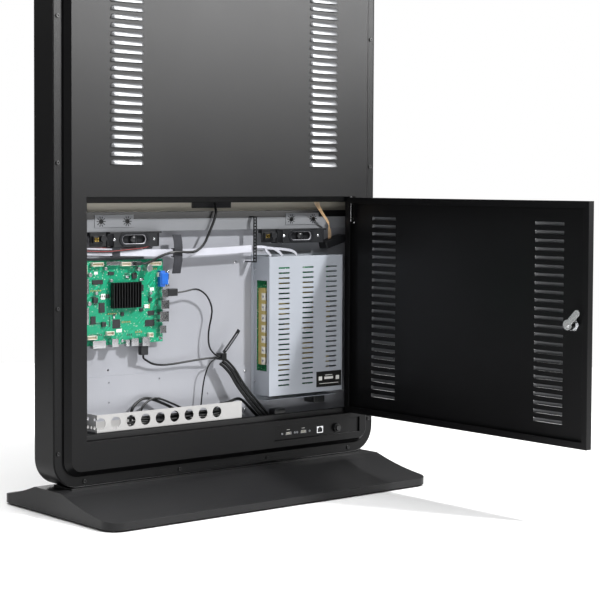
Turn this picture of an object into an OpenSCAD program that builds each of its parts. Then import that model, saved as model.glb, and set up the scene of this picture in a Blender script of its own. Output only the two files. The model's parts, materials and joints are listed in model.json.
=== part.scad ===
// Floor-standing touchscreen kiosk, portrait, with a hinged service door in its back.
// Frame: X across the kiosk (positive to the right when facing the screen), Y from the
// screen to the back, Z up. The origin is on the floor under the middle of the base.
// Depths inside the body are measured forwards from the flat back panel: see yd().

/* [Body] */
// Width of the upright body
body_w = 760; // [740:5:920]
// Height of the top of the body above the floor
body_top = 1980; // [1900:10:2400]
// Depth of the body from the back panel to the glass
body_d = 77; // [77:1:95]
// Radius of the four corners of the body
body_r = 50; // [40:1:60]
// Distance from the middle of the base forwards to the middle of the body
body_shift = 17; // [0:1:30]
// Wall of the front frame
frame_wall = 2; // [1.5:0.5:3]
// Sheet of the back cover, door and inner plates
sheet = 1.5; // [1:0.25:2]
// Width of the ledge between the edge of the body and the raised back
ledge_w = 20; // [18:1:30]
// Depth of that ledge behind the back panel
ledge_d = 14; // [12:1:16]
// Chamfer round the back panel
chamfer = 10; // [6:1:12]
// Screws down each side of the back cover
side_screws = 8; // [4:1:10]

/* [Base] */
// Width of the base
base_w = 752; // [700:1:920]
// Depth of the base
base_d = 370; // [340:5:460]
// Height of the flat top of the base above the floor
base_top = 46; // [42:1:56]
// Height of the outer edge of the base above the floor
base_edge = 16; // [12:1:20]
// Radius of the corners of the base
base_r = 32; // [20:1:45]
// Radius of the hollow front and back slopes
base_hollow_r = 640; // [560:10:2000]
// Thickness of the rubber pads under the base
foot_h = 3; // [2:0.5:5]
// Spacer between the base and the body
spacer_t = 3; // [2:0.5:5]

/* [Service door] */
// Width of the door opening
open_w = 638; // [600:2:640]
// Height of the door opening
open_h = 437; // [420:1:530]
// Height of the bottom of the opening above the floor
open_z = 131; // [125:1:150]
// Gap between the door and the opening
door_gap = 2; // [1.5:0.25:3]
// Depth of the folded edge of the door
door_t = 13; // [11:0.5:14]
// Width of the inner lip of the door
door_lip = 12; // [8:1:16]
// Depth of the seat behind the door
seat_d = 17; // [16.5:0.5:18]
// Width of the seat lip
seat_lip = 11; // [9:1:12]
// Angle by which the door stands open
door_open = 90; // [0:5:110]
// Diameter of the two hinge pins
pin_d = 4; // [3:0.5:4]
// Radial play of the hinge pins in their holes
pin_play = 0.05; // [0.03:0.01:0.08]
// Distance from the lock to the free edge of the door
lock_inset = 40; // [38:1:50]

/* [Louvres] */
// Length of a louvre
louvre_w = 71; // [50:1:80]
// Distance between louvre rows
louvre_pitch = 15.3; // [14:0.1:18]
// How far a louvre stands out of its panel
louvre_out = 5; // [3:0.5:7]
// Louvre rows in each column
louvre_rows = 24; // [10:1:24]
// Distance of the louvre columns of the back from its middle
louvre_x = 233; // [180:1:260]
// Distance of the louvre columns of the door from its middle
door_louvre_x = 216.5; // [180:0.5:220]

/* [Screen] */
// Thickness of the front glass
glass_t = 4; // [3:0.5:6]
// Gap round the glass
glass_gap = 0.5; // [0.3:0.1:1]
// Distance from the side of the body to the screen panel
screen_side = 31; // [31:1:60]
// Distance from the top of the body to the screen panel
screen_drop = 219; // [60:1:260]
// Thickness of the screen panel
screen_t = 12; // [10:0.5:12]

/* [Equipment] */
// Width of the main circuit board
board_w = 182; // [150:1:190]
// Height of the main circuit board
board_h = 155; // [130:1:160]
// Length of the spacers under the main board
standoff_h = 10; // [6:1:12]
// Width of the power supply
psu_w = 188; // [150:1:190]
// Height of the power supply
psu_h = 272; // [200:1:280]
// Depth of the power supply
psu_t = 50; // [30:1:50]
// Length of the cable channel
channel_w = 331; // [250:1:335]
// Height of the cable channel
channel_h = 32; // [24:1:34]
// Depth of the cable channel
channel_t = 38; // [25:1:40]
// Diameter of the holes in the cable channel
channel_hole = 21; // [12:0.5:22]

/* [Hidden] */
$fn = 48;
eps = 0.01;

// --- derived places -------------------------------------------------------------
body_y = -body_shift;                       // middle of the body
rear_y = body_y + body_d / 2;               // flat back panel
function yd(d) = rear_y - d;                // place of a depth behind the back panel
body_z = base_top + spacer_t;               // underside of the body
body_h = body_top - body_z;
edge_x = body_w / 2;
clear = 0.3;                                // air between parts that must not touch

glass_d = body_d - glass_t;                 // depth of the back of the glass
gasket_t = 1;
seat_flange_w = 30;                         // front flange that carries the glass
flange_d = glass_d - gasket_t;              // depth of the front of that flange
rail_t = 8.5;                               // depth of the side rails
rail_d = flange_d - frame_wall - rail_t;    // depth of the back of the rails
plate_d = rail_d - sheet;                   // depth of the back of the equipment plate
lower_d = plate_d - sheet;                  // and of the lower plate on top of it

open_top = open_z + open_h;
door_w = open_w - 2 * door_gap;
door_h = open_h - 2 * door_gap;
door_z = open_z + door_gap;
pin_in = 6;                                 // hinge axis to the hinge edge of the door
pin_deep = 4.5;                             // hinge axis to the outside of the door
hinge_x = -(door_w / 2 - pin_in);
hinge_y = yd(pin_deep);
lock_x = door_w / 2 - lock_inset;
lock_z = open_z + open_h / 2;

plate_top = open_top - 42;                  // top of the equipment plate
plate_z = open_z - 31;                      // bottom of both plates
bar_z = plate_top + 1;                      // dark bar under the screen
bar_h = 13;
screen_z = plate_top + 6;                   // underside of the screen panel
screen_h = body_top - screen_drop - screen_z;
screen_w = body_w - 2 * screen_side;
screen_d = flange_d - screen_t;             // depth of the back of the screen panel

board_x = 302 - board_w;                    // edge of the board nearest the middle
board_top = 452;
board_z = board_top - board_h;
pcb_t = 1.6;
board_d = plate_d - standoff_h - pcb_t;     // depth of the component side
board_holes = [for (i = [0, 0.5, 1], j = [0, 1])
    [board_x + 6 + i * (board_w - 12), board_z + 6 + j * (board_h - 12)]];

psu_x = -106 - psu_w;                       // far side of the power supply
psu_top = 451;
psu_z = psu_top - psu_h;
psu_d = plate_d - psu_t;                    // depth of its cover
channel_x = 284 - channel_w;
channel_z = open_z + seat_lip;
channel_d = lower_d - channel_t;

// --- shapes used many times -----------------------------------------------------
// block between two depths, given by its edges in X and Z
module block(x0, x1, z0, z1, d0, d1) {
    translate([x0, yd(d1), z0]) cube([x1 - x0, d1 - d0, z1 - z0]);
}

// rounded plate standing in the XZ plane between two depths
module face_plate(w, z0, z1, r, d0, d1) {
    translate([0, yd(d0), 0]) rotate([90, 0, 0]) linear_extrude(d1 - d0)
        rounded_outline(w, z0, z1, r);
}

module rounded_outline(w, z0, z1, r) {
    translate([-w / 2 + r, z0]) square([w - 2 * r, z1 - z0]);
    translate([-w / 2, z0 + r]) square([w, z1 - z0 - 2 * r]);
    for (x = [-w / 2 + r, w / 2 - r], z = [z0 + r, z1 - r])
        translate([x, z]) circle(r, $fn = 64);
}

// round bar along Y between two depths
module rod_y(x, z, d0, d1, dia) {
    translate([x, yd(d0), z]) rotate([90, 0, 0]) cylinder(d = dia, h = d1 - d0);
}

// screw driven forwards: head behind depth d, shank in front of it
module screw_y(x, z, d, dia, len, head_d, head_h) {
    difference() {
        union() {
            rod_y(x, z, d, d + len, dia);
            rod_y(x, z, d - head_h, d, head_d);
        }
        translate([x, yd(d - head_h) + eps, z]) rotate([90, 30, 0])
            cylinder(d = dia * 0.7, h = head_h * 0.6, $fn = 6);
    }
}

// block whose rear edges are chamfered, standing in the XZ plane
module tub(w, z0, z1, r, c, d0, d1) {
    h = z1 - z0;
    face_plate(w, z0, z1, r, d0 + c, d1);
    for (x = [-w / 2 + r, w / 2 - r], z = [z0 + r, z1 - r])
        translate([x, yd(d0 + c), z]) rotate([-90, 0, 0])
            cylinder(r1 = r, r2 = r - c, h = c, $fn = 64);
    translate([0, yd(d0), z0 + r]) linear_extrude(h - 2 * r)
        polygon([[-w / 2, -c], [w / 2, -c], [w / 2 - c, 0], [c - w / 2, 0]]);
    translate([r - w / 2, yd(d0), 0]) rotate([90, 0, 90]) linear_extrude(w - 2 * r)
        polygon([[-c, z0], [-c, z1], [0, z1 - c], [0, z0 + c]]);
}

// smooth path through hand-chosen points
function spline(a, b, c, d, t) = 0.5 * (2 * b + (c - a) * t
    + (2 * a - 5 * b + 4 * c - d) * t * t + (3 * b - a - 3 * c + d) * t * t * t);
function path(p, n) = concat([for (i = [0 : len(p) - 2], k = [0 : n - 1])
    spline(p[max(i - 1, 0)], p[i], p[i + 1], p[min(i + 2, len(p) - 1)], k / n)],
    [p[len(p) - 1]]);
function unit(v) = v / norm(v);
function tangent(q, i) = unit(q[min(i + 1, len(q) - 1)] - q[max(i - 1, 0)]);
function ring(c, t, r, m) = let(u = unit(cross(t, [0, 1, 0])), v = cross(t, u))
    [for (k = [0 : m - 1]) c + r * (cos(360 * k / m) * u + sin(360 * k / m) * v)];

// triangles of a tube of rings 0 to last with m points each, closed at both ends
function tube_faces(last, m) = concat(
    [for (k = [1 : m - 2]) [0, k, k + 1]],
    [for (i = [0 : last - 1], k = [0 : m - 1]) let(a = i * m + k, b = i * m + (k + 1) % m)
        each [[a, a + m, b], [b, a + m, b + m]]],
    [for (k = [1 : m - 2]) [last * m, last * m + k + 1, last * m + k]]);

// round cable swept along points given as [x, depth, z]
module cable(points, dia, n = 3, m = 8) {
    q = path([for (p = points) [p[0], yd(p[1]), p[2]]], n);
    last = len(q) - 1;
    polyhedron(
        points = [for (i = [0 : last]) each ring(q[i], tangent(q, i), dia / 2, m)],
        faces = tube_faces(last, m));
}

// flat strip lying in the XZ plane along points given as [x, z]
module strip(points, w, d0, d1, n = 4) {
    q = path(points, n);
    side = [for (i = [0 : len(q) - 1]) let(t = tangent(q, i)) [-t[1], t[0]] * w / 2];
    translate([0, yd(d0), 0]) rotate([90, 0, 0]) linear_extrude(d1 - d0)
        polygon(concat([for (i = [0 : len(q) - 1]) q[i] + side[i]],
            [for (i = [len(q) - 1 : -1 : 0]) q[i] - side[i]]));
}

// --- louvres --------------------------------------------------------------------
louvre_h = 8;
function hood(out, top, bottom) = [for (a = [0 : 22.5 : 90])
    [out * sin(a), bottom + (top - bottom) * cos(a)]];

// pressed hood, open at the bottom; its panel's outside is at depth 0
module louvre_hood(x, z) {
    top = louvre_h / 2;
    translate([x - louvre_w / 2, rear_y, z]) rotate([90, 0, 90]) {
        linear_extrude(louvre_w) polygon(concat(hood(louvre_out, top, -top),
            [for (i = [4 : -1 : 0]) hood(louvre_out - 1.2, top - 1.6, -top)[i]]));
        for (e = [0, louvre_w - 1])
            translate([0, 0, e]) linear_extrude(1)
                polygon(concat([[0, -top]], hood(louvre_out, top, -top)));
    }
}

module louvre_slot(x, z) {
    translate([x - louvre_w / 2 + 1, rear_y - sheet - 1, z - louvre_h / 2])
        cube([louvre_w - 2, sheet + 2, louvre_h - 1.6]);
}

louvre_low_z = open_top + 63;
louvre_high_z = body_top - 130 - (louvre_rows - 1) * louvre_pitch;
cover_louvres = [for (z0 = [louvre_low_z, louvre_high_z], s = [-1, 1],
    i = [0 : louvre_rows - 1]) [s * louvre_x, z0 + i * louvre_pitch]];
door_louvres = [for (s = [-1, 1], i = [0 : louvre_rows - 1])
    [s * door_louvre_x, lock_z + (i - (louvre_rows - 1) / 2) * louvre_pitch]];

// --- front of the kiosk ---------------------------------------------------------
screw_in = 10;                              // screws to the edge of the body
screw_d = 4;
side_pitch = (body_h - 128) / (side_screws - 1);
cover_screw_places = concat(
    [for (s = [-1, 1], i = [0 : side_screws - 1])
        [s * (edge_x - screw_in), body_z + 64 + i * side_pitch]],
    [for (x = [-315, -105, 105, 315], z = [body_z + screw_in, body_top - screw_in]) [x, z]]);
bolt_x = [-240, -80, 80, 240];
bolt_d = 8;

module front_frame() {
    color("#17181a") difference() {
        union() {
            difference() {
                face_plate(body_w, body_z, body_top, body_r, ledge_d, body_d);
                face_plate(body_w - 2 * frame_wall, body_z + frame_wall,
                    body_top - frame_wall, body_r - frame_wall, ledge_d - 1, body_d + 1);
            }
            frame_flange(ledge_d + sheet, 28);
            frame_flange(flange_d - frame_wall, seat_flange_w);
        }
        for (p = cover_screw_places) rod_y(p[0], p[1], ledge_d, ledge_d + 6, screw_d + 0.1);
        for (x = bolt_x) translate([x, body_y, body_z - 1])
            cylinder(d = bolt_d + 0.2, h = frame_wall + 2);
    }
}

// ring inside the frame wall, w wide, with its back at depth d
module frame_flange(d, w) {
    difference() {
        face_plate(body_w - frame_wall, body_z + frame_wall / 2, body_top - frame_wall / 2,
            body_r - frame_wall / 2, d, d + frame_wall);
        face_plate(body_w - 2 * w, body_z + w, body_top - w, body_r - 24,
            d - 1, d + frame_wall + 1);
    }
}

module front_glass() {
    gap = frame_wall + glass_gap;
    color("#0c0d10") face_plate(body_w - 2 * gap, body_z + gap, body_top - gap,
        body_r - gap, glass_d, body_d);
}

module glass_gasket() {
    a = frame_wall + glass_gap + 1;
    color("#101010") difference() {
        face_plate(body_w - 2 * a, body_z + a, body_top - a, body_r - a, flange_d, glass_d);
        face_plate(body_w - 2 * a - 24, body_z + a + 12, body_top - a - 12, body_r - a - 12,
            flange_d - 1, glass_d + 1);
    }
}

module touch_film() {
    color("#22262c") block(-screen_w / 2 + 4, screen_w / 2 - 4, screen_z + 4,
        screen_z + screen_h - 4, glass_d - 0.4, glass_d);
}

module screen_panel() {
    color("#a9a493") difference() {
        block(-screen_w / 2, screen_w / 2, screen_z, screen_z + screen_h, screen_d, flange_d);
        // pressed panels in the metal back
        for (i = [0 : 2]) block(-screen_w / 2 + 40, screen_w / 2 - 40,
            screen_z + 60 + i * (screen_h - 60) / 3, screen_z + i * (screen_h - 60) / 3
            + (screen_h - 60) / 3, screen_d - 1, screen_d + 1.5);
    }
}

rail_w = 22;
rail_x = edge_x - frame_wall - 2 - rail_w;  // inner side of a rail
module side_rails() {
    color("#9a9c9e") for (s = [0, 1]) mirror([s, 0, 0]) difference() {
        block(rail_x, rail_x + rail_w, body_z + 40, body_top - 40, rail_d, flange_d - frame_wall);
        block(rail_x + 2, rail_x + rail_w - 2, body_z + 39, body_top - 39, rail_d + 2,
            flange_d);
    }
}

module screen_bars() {
    color("#8e9092") for (i = [0 : 3]) {
        z = screen_z + 130 + i * (screen_h - 290) / 3;
        block(-rail_x - rail_w + 4, rail_x + rail_w - 4, z, z + 30, screen_d - 6, screen_d);
        for (s = [0, 1]) mirror([s, 0, 0])
            block(rail_x + 2, rail_x + rail_w - 4, z, z + 30, screen_d - 1, rail_d);
    }
}

module touch_controller() {
    color("#1d5f3e") block(-45, 45, screen_z + 14, screen_z + 56, screen_d - 6, screen_d);
}

// --- back cover -----------------------------------------------------------------
tub_r = 30;
flange_gap = frame_wall + 0.5;
port_z = open_z - 27;
port_x = [-150, -188];
lan_x = -231;
button_x = -274;
button_d = 13;
bezel_d = 17;
recess = [-334, -112, open_z - 39, open_z - 9];  // x0, x1, z0, z1 of the socket recess
recess_d = 4;
io_screw_x = [-134, -166, -172, -204];
usb_size = [13.6, 6.2];
lan_size = [16, 13.4];

module rear_cover() {
    w = body_w - 2 * ledge_w;
    z0 = body_z + ledge_w;
    z1 = body_top - ledge_w;
    color("#1c1d20") difference() {
        union() {
            difference() {
                union() {
                    tub(w, z0, z1, tub_r, chamfer, 0, ledge_d + sheet);
                    face_plate(body_w - 2 * flange_gap, body_z + flange_gap,
                        body_top - flange_gap, body_r - flange_gap, ledge_d, ledge_d + sheet);
                }
                tub(w - 2 * sheet, z0 + sheet, z1 - sheet, tub_r - sheet, chamfer, sheet,
                    ledge_d + sheet + 1);
                block(-open_w / 2, open_w / 2, open_z, open_top, -1, sheet + 1);
                for (p = cover_louvres) louvre_slot(p[0], p[1]);
                block(recess[0], recess[1], recess[2], recess[3], -1, sheet + 1);
            }
            for (p = cover_louvres) louvre_hood(p[0], p[1]);
            door_seat();
            socket_recess();
        }
        for (p = cover_screw_places)
            rod_y(p[0], p[1], ledge_d - 1, ledge_d + sheet + 1, screw_d + 0.4);
        for (z = [open_z, open_top]) translate([hinge_x, hinge_y, z - 4])
            cylinder(d = pin_d + 2 * pin_play, h = 8);
    }
}

// walls and lip that the closed door sinks into
module door_seat() {
    difference() {
        block(-open_w / 2 - sheet, open_w / 2 + sheet, open_z - sheet, open_top + sheet,
            0, seat_d + sheet);
        block(-open_w / 2, open_w / 2, open_z, open_top, -1, seat_d);
        block(-open_w / 2 + seat_lip, open_w / 2 - seat_lip, open_z + seat_lip,
            open_top - seat_lip, seat_d - 1, seat_d + sheet + 1);
    }
}

module socket_recess() {
    difference() {
        block(recess[0] - sheet, recess[1] + sheet, recess[2] - sheet, recess[3] + sheet,
            0, recess_d + sheet);
        block(recess[0], recess[1], recess[2], recess[3], -1, recess_d);
        for (x = port_x) block(x - usb_size[0] / 2 - 0.2, x + usb_size[0] / 2 + 0.2,
            port_z - usb_size[1] / 2 - 0.2, port_z + usb_size[1] / 2 + 0.2, 0, 10);
        block(lan_x - lan_size[0] / 2 - 0.2, lan_x + lan_size[0] / 2 + 0.2,
            port_z - lan_size[1] / 2 - 0.2, port_z + lan_size[1] / 2 + 0.2, 0, 10);
        rod_y(button_x, port_z, 0, 10, bezel_d - 3 + 0.2);
        for (x = io_screw_x) rod_y(x, port_z, 0, 10, 2.7);
    }
}

module rear_cover_screws() {
    color("#26272a") for (p = cover_screw_places)
        screw_y(p[0], p[1], ledge_d, screw_d, 6, 7.5, 2.2);
}

// --- sockets and button under the door --------------------------------------------
io_d = 18;                                  // depth of the small circuit board
module usb_sockets() {
    color("#c9cbcd") for (x = port_x) difference() {
        block(x - usb_size[0] / 2, x + usb_size[0] / 2, port_z - usb_size[1] / 2,
            port_z + usb_size[1] / 2, recess_d - 1, io_d);
        block(x - usb_size[0] / 2 + 0.6, x + usb_size[0] / 2 - 0.6, port_z - usb_size[1] / 2
            + 0.6, port_z + usb_size[1] / 2 - 0.6, recess_d - 2, io_d - 2);
    }
}

module lan_socket() {
    color("#c9cbcd") difference() {
        block(lan_x - lan_size[0] / 2, lan_x + lan_size[0] / 2, port_z - lan_size[1] / 2,
            port_z + lan_size[1] / 2, recess_d - 1, io_d);
        block(lan_x - 5.9, lan_x + 5.9, port_z - 4.6, port_z + 3, recess_d - 2, io_d - 2);
        block(lan_x - 3, lan_x + 3, port_z, port_z + 5, recess_d - 2, io_d - 2);
    }
}

module io_board() {
    color("#1f6f48") difference() {
        block(-250, -125, port_z - 11, port_z + 12, io_d, io_d + pcb_t);
        for (x = [io_screw_x[0], io_screw_x[3]]) rod_y(x, port_z, io_d - 1, io_d + 3, 2.7);
    }
}

// two long screws carry the little board on sleeves, two short ones fill the row
module io_screws() {
    color("#8f9193") for (i = [0 : 3]) {
        long = i == 0 || i == 3;
        screw_y(io_screw_x[i], port_z, recess_d, 2.5, long ? io_d + 2 - recess_d : 4, 4.4, 1.4);
        if (long) difference() {
            rod_y(io_screw_x[i], port_z, recess_d + sheet, io_d, 5);
            rod_y(io_screw_x[i], port_z, recess_d + sheet - 1, io_d + 1, 2.6);
        }
    }
}

module power_button_bezel() {
    color("#0d0d0e") difference() {
        union() {
            rod_y(button_x, port_z, recess_d - 6, recess_d, bezel_d);
            rod_y(button_x, port_z, recess_d, 16, bezel_d - 3);
            rod_y(button_x, port_z, recess_d + sheet, recess_d + sheet + 3, bezel_d + 3);
        }
        rod_y(button_x, port_z, -8, 14, button_d - 1 + 0.6);
    }
}

module power_button() {
    color("#141416") rod_y(button_x, port_z, recess_d - 9, 8, button_d - 1);
}

// --- inside the compartment -------------------------------------------------------
plate_holes = [[234, 249], [234, 226], [234, 189], [121, 226], [121, 189], [8, 189]];
plate_x = rail_x + rail_w - 2;

module equipment_plate() {
    color("#b9bcc0") difference() {
        block(-plate_x, plate_x, plate_z, plate_top, plate_d, rail_d);
        for (p = board_holes) rod_y(p[0], p[1], plate_d - 1, rail_d + 1, 3.2);
        rod_y(plate_holes[0][0], plate_holes[0][1], plate_d - 1, rail_d + 1, 4);
    }
}

lower_top = open_z + 107;
module lower_plate() {
    color("#c4c6c9") difference() {
        block(-96, plate_x, plate_z, lower_top, lower_d, plate_d);
        for (i = [1 : 5]) rod_y(plate_holes[i][0], plate_holes[i][1], lower_d - 1,
            plate_d + 1, 4);
    }
}

angle_d = plate_d - 14;                     // depth of the front of the support angle
module screen_lower_bar() {
    color("#0f1012") block(-plate_x, plate_x, bar_z, bar_z + bar_h, angle_d, plate_d - 1);
    color("#0f1012") for (s = [0, 1]) mirror([s, 0, 0])
        block(rail_x + 2, plate_x, bar_z, bar_z + bar_h, plate_d - 2, rail_d);
}

shelf_z = open_top - 64;                    // underside of the support angle
module screen_support_angle() {
    color("#a5a8ac") {
        block(-plate_x, plate_x, shelf_z, bar_z, angle_d, angle_d + sheet);
        block(-plate_x, plate_x, shelf_z, shelf_z + sheet, angle_d, plate_d);
    }
}

rosette_w = 85;
module rosette_brackets() {
    color("#8b8985") for (x = [188, -260]) difference() {
        block(x, x + rosette_w, shelf_z + 8, shelf_z + 31, angle_d - 1.2, angle_d);
        for (c = [x + 14, x + 71]) {
            rod_y(c, shelf_z + 19, angle_d - 3, angle_d + 1, 5);
            for (a = [0 : 36 : 324]) translate([c, yd(angle_d - 3), shelf_z + 19])
                rotate([90, a, 0]) translate([5.2, -0.8, 0]) cube([4.6, 1.6, 5]);
        }
    }
}

speaker_h = 28;
speaker_x = [133, -271];                    // inner edges of the two housings
speaker_w = [115, 122];
driver_x = [194, -205];
speaker_d = 33;

module racetrack(x, z, w, h, d0, d1) {
    block(x - w / 2 + h / 2, x + w / 2 - h / 2, z - h / 2, z + h / 2, d0, d1);
    for (s = [-1, 1]) rod_y(x + s * (w / 2 - h / 2), z, d0, d1, h);
}

module speaker_housings() {
    z = shelf_z - speaker_h / 2;
    color("#1a1b1d") for (i = [0, 1]) difference() {
        block(speaker_x[i], speaker_x[i] + speaker_w[i], shelf_z - speaker_h, shelf_z,
            speaker_d, plate_d);
        block(speaker_x[i] + 2, speaker_x[i] + speaker_w[i] - 2, shelf_z - speaker_h + 2,
            shelf_z - 2, speaker_d + 2, plate_d + 1);
        racetrack(driver_x[i], z, 62, 22, speaker_d - 1, speaker_d + 3);
        block(speaker_x[i] - 1, speaker_x[i] + 9, shelf_z - speaker_h - 1, shelf_z - 3,
            speaker_d - 1, speaker_d + 8);
        block(speaker_x[i] + speaker_w[i] - 9, speaker_x[i] + speaker_w[i] + 1,
            shelf_z - speaker_h - 1, shelf_z - 3, speaker_d - 1, speaker_d + 8);
    }
}

module speaker_drivers() {
    z = shelf_z - speaker_h / 2;
    color("#4a4b4e") for (x = driver_x) {
        difference() {
            racetrack(x, z, 66, 25, speaker_d - 1.5, speaker_d);
            racetrack(x, z, 56, 17, speaker_d - 2, speaker_d + 1);
        }
        difference() {
            racetrack(x, z, 61, 21, speaker_d, speaker_d + 9);
            racetrack(x, z, 56, 17, speaker_d - 1, speaker_d + 7);
        }
        rod_y(x, z, speaker_d + 3, speaker_d + 8, 12);
        rod_y(x, z, speaker_d + 9, speaker_d + 18, 22);
    }
}

// small filter boards beside the housings, with their coils
module speaker_filters() {
    color("#2c2a29") for (x = [250, -148 + 1]) {
        block(x, x + 34, shelf_z - 26, shelf_z, plate_d - 18, plate_d - 14);
        block(x + 2, x + 8, shelf_z - 8, shelf_z, plate_d - 14, plate_d);
        block(x + 24, x + 30, shelf_z - 8, shelf_z, plate_d - 14, plate_d);
        rod_y(x + 10, shelf_z - 12, plate_d - 27, plate_d - 18, 13);
        block(x + 20, x + 31, shelf_z - 20, shelf_z - 7, plate_d - 24, plate_d - 18);
    }
}

// --- main board ------------------------------------------------------------------
module main_board() {
    color("#1f9a6d") difference() {
        block(board_x, board_x + board_w, board_z, board_top, board_d, board_d + pcb_t);
        for (p = board_holes) rod_y(p[0], p[1], board_d - 1, board_d + 3, 3.4);
    }
}

module board_standoffs() {
    color("#c8b273") for (p = board_holes) difference() {
        translate([p[0], yd(board_d + pcb_t), p[1]]) rotate([90, 0, 0])
            cylinder(d = 6.4, h = standoff_h, $fn = 6);
        rod_y(p[0], p[1], board_d, plate_d + 1, 3.1);
    }
}

module board_screws() {
    color("#b4b6b8") for (p = board_holes)
        screw_y(p[0], p[1], board_d, 3, 8, 5.8, 1.8);
}

sink_x = board_x + 57;
sink_z = board_top - 88;
module heat_sink() {
    color("#101113") {
        block(sink_x, sink_x + 61, sink_z, sink_z + 47, board_d - 6, board_d - 3);
        for (i = [0 : 10]) block(sink_x + i * 5.95, sink_x + i * 5.95 + 1.5, sink_z,
            sink_z + 47, board_d - 14, board_d - 6);
    }
}

// [x, z, w, h, height] of each chip, from the corner of the board
chips = [[70, 72, 36, 36, 3], [20, 30, 20, 12, 1.6], [20, 50, 14, 9, 1.4],
    [130, 60, 12, 18, 1.6], [44, 96, 9, 12, 1.4], [134, 112, 22, 8, 2], [96, 30, 16, 16, 1.6],
    [150, 40, 10, 14, 2.4], [60, 120, 10, 10, 3], [110, 128, 12, 6, 2]];
module board_chips() {
    color("#17181a") for (c = chips)
        block(board_x + c[0], board_x + c[0] + c[2], board_z + c[1], board_z + c[1] + c[3],
            board_d - c[4], board_d);
}

// [x, z, diameter, height] of each capacitor, from the corner of the board
capacitors = [[40, 139, 13, 16], [60, 138, 8, 11], [166, 130, 8, 11], [150, 96, 6.3, 7],
    [168, 78, 8, 11], [130, 140, 6.3, 7], [30, 92, 6.3, 7], [118, 118, 6.3, 7]];
module board_capacitors() {
    color("#8f8f90") for (c = capacitors)
        rod_y(board_x + c[0], board_z + c[1], board_d - c[3], board_d, c[2]);
}

// [x, z, w, h, height] of each socket, from the corner of the board
sockets = [[-3, 83, 14, 15, 14], [-4, 62, 18, 16, 16], [-4, 38, 20, 19, 15],
    [-3, 16, 14, 14, 8], [40, -5, 16, 17, 16], [62, -4, 15, 14, 12], [78.5, -4, 8, 12, 7],
    [108, -3, 14, 15, 14], [134, -4, 28, 14, 12], [54, 144, 22, 8, 9], [100, 146, 30, 7, 9],
    [168, 96, 8, 26, 8], [168, 40, 8, 30, 8]];
module board_sockets() {
    color("#b9b6ae") for (s = sockets) difference() {
        block(board_x + s[0], board_x + s[0] + s[2], board_z + s[1], board_z + s[1] + s[3],
            board_d - s[4], board_d);
        if (s[0] < 0) block(board_x + s[0] - 1, board_x + s[0] + s[2] - 4,
            board_z + s[1] + 2, board_z + s[1] + s[3] - 2, board_d - s[4] + 2, board_d - 2);
        if (s[1] < 0) block(board_x + s[0] + 2, board_x + s[0] + s[2] - 2,
            board_z + s[1] - 1, board_z + s[1] + s[3] - 4, board_d - s[4] + 2, board_d - 2);
    }
}

module vga_socket() {
    z = board_z + 103;
    color("#2f6fd0") block(board_x - 5, board_x + 10, z + 4, z + 26, board_d - 12, board_d - 1);
    color("#2f6fd0") block(board_x + 1, board_x + 12, z, z + 30, board_d - 10, board_d);
}

// --- power supply ------------------------------------------------------------------
slot_rows = floor((psu_h - 40) / 10);
slot_cols = [-157, -218, -279];
module psu_cover() {
    t = 1.2;
    color("#c9cbca") difference() {
        block(psu_x, psu_x + psu_w, psu_z, psu_top, psu_d, plate_d - sheet);
        block(psu_x + t, psu_x + psu_w - t, psu_z - 1, psu_top + 1, psu_d + t, plate_d);
        for (c = [0 : 2], i = [0 : slot_rows])
            if (c < 2 || i > 2) block(slot_cols[c], slot_cols[c] + 28, psu_z + 18 + i * 10,
                psu_z + 21 + i * 10, psu_d - 1, psu_d + t + 1);
        // cut-out in the side over the terminals
        block(psu_x + psu_w - 5, psu_x + psu_w + 1, psu_z + 48, psu_top - 47,
            psu_d + 8, plate_d - 10);
    }
    // lips that close the ends, short of the cables
    color("#c9cbca") {
        block(psu_x, psu_x + psu_w, psu_z, psu_z + t, psu_d, psu_d + 14);
        block(psu_x, psu_x + psu_w, psu_top - t, psu_top, psu_d, psu_d + 9);
    }
}

module psu_tray() {
    color("#bfc1c0") {
        block(psu_x - 4, psu_x + psu_w + 6, psu_z - 10, psu_top + 4, plate_d - sheet, plate_d);
        block(psu_x + 4, psu_x + psu_w - 4, psu_z - 10, psu_z - 10 + sheet, psu_d + 12, plate_d);
    }
}

module psu_board() {
    color("#2a7d4f") block(psu_x + 4, psu_x + psu_w - 2, psu_z + 12, psu_top - 12,
        plate_d - 10, plate_d - 10 + pcb_t);
    color("#2a7d4f") for (x = [psu_x + 12, psu_x + psu_w - 18], z = [psu_z + 20, psu_top - 26])
        block(x, x + 6, z, z + 6, plate_d - 10 + pcb_t, plate_d - sheet);
}

// [x, z, w, h, height] of each part on the power supply board
psu_blocks = [[170, 60, 14, 150, 22], [120, 150, 38, 34, 30], [60, 60, 44, 40, 32],
    [20, 130, 26, 50, 26], [120, 40, 30, 40, 24], [62, 190, 34, 30, 24], [112, 210, 40, 20, 18],
    [18, 40, 24, 36, 22]];
module psu_parts() {
    color("#c9b877") for (b = psu_blocks)
        block(psu_x + b[0], psu_x + b[0] + b[2], psu_z + b[1], psu_z + b[1] + b[3],
            plate_d - 10 - b[4], plate_d - 10);
    color("#c9b877") for (i = [0 : 3]) rod_y(psu_x + 60 + i * 18, psu_z + 130,
        plate_d - 38, plate_d - 10, 15);
}

module psu_screws() {
    color("#b4b6b8") for (z = [psu_z + 26, psu_top - 26]) translate([psu_x + psu_w, 0, z])
        rotate([0, 90, 0]) translate([0, yd(plate_d - 6), 0]) cylinder(d = 5, h = 1.8);
}

module mains_inlet() {
    color("#0e0e0f") difference() {
        block(-262, -234, psu_z - 24, psu_z - 10, psu_d + 16, plate_d - 4);
        block(-259, -237, psu_z - 25, psu_z - 13, psu_d + 19, plate_d - 7);
    }
}

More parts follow.
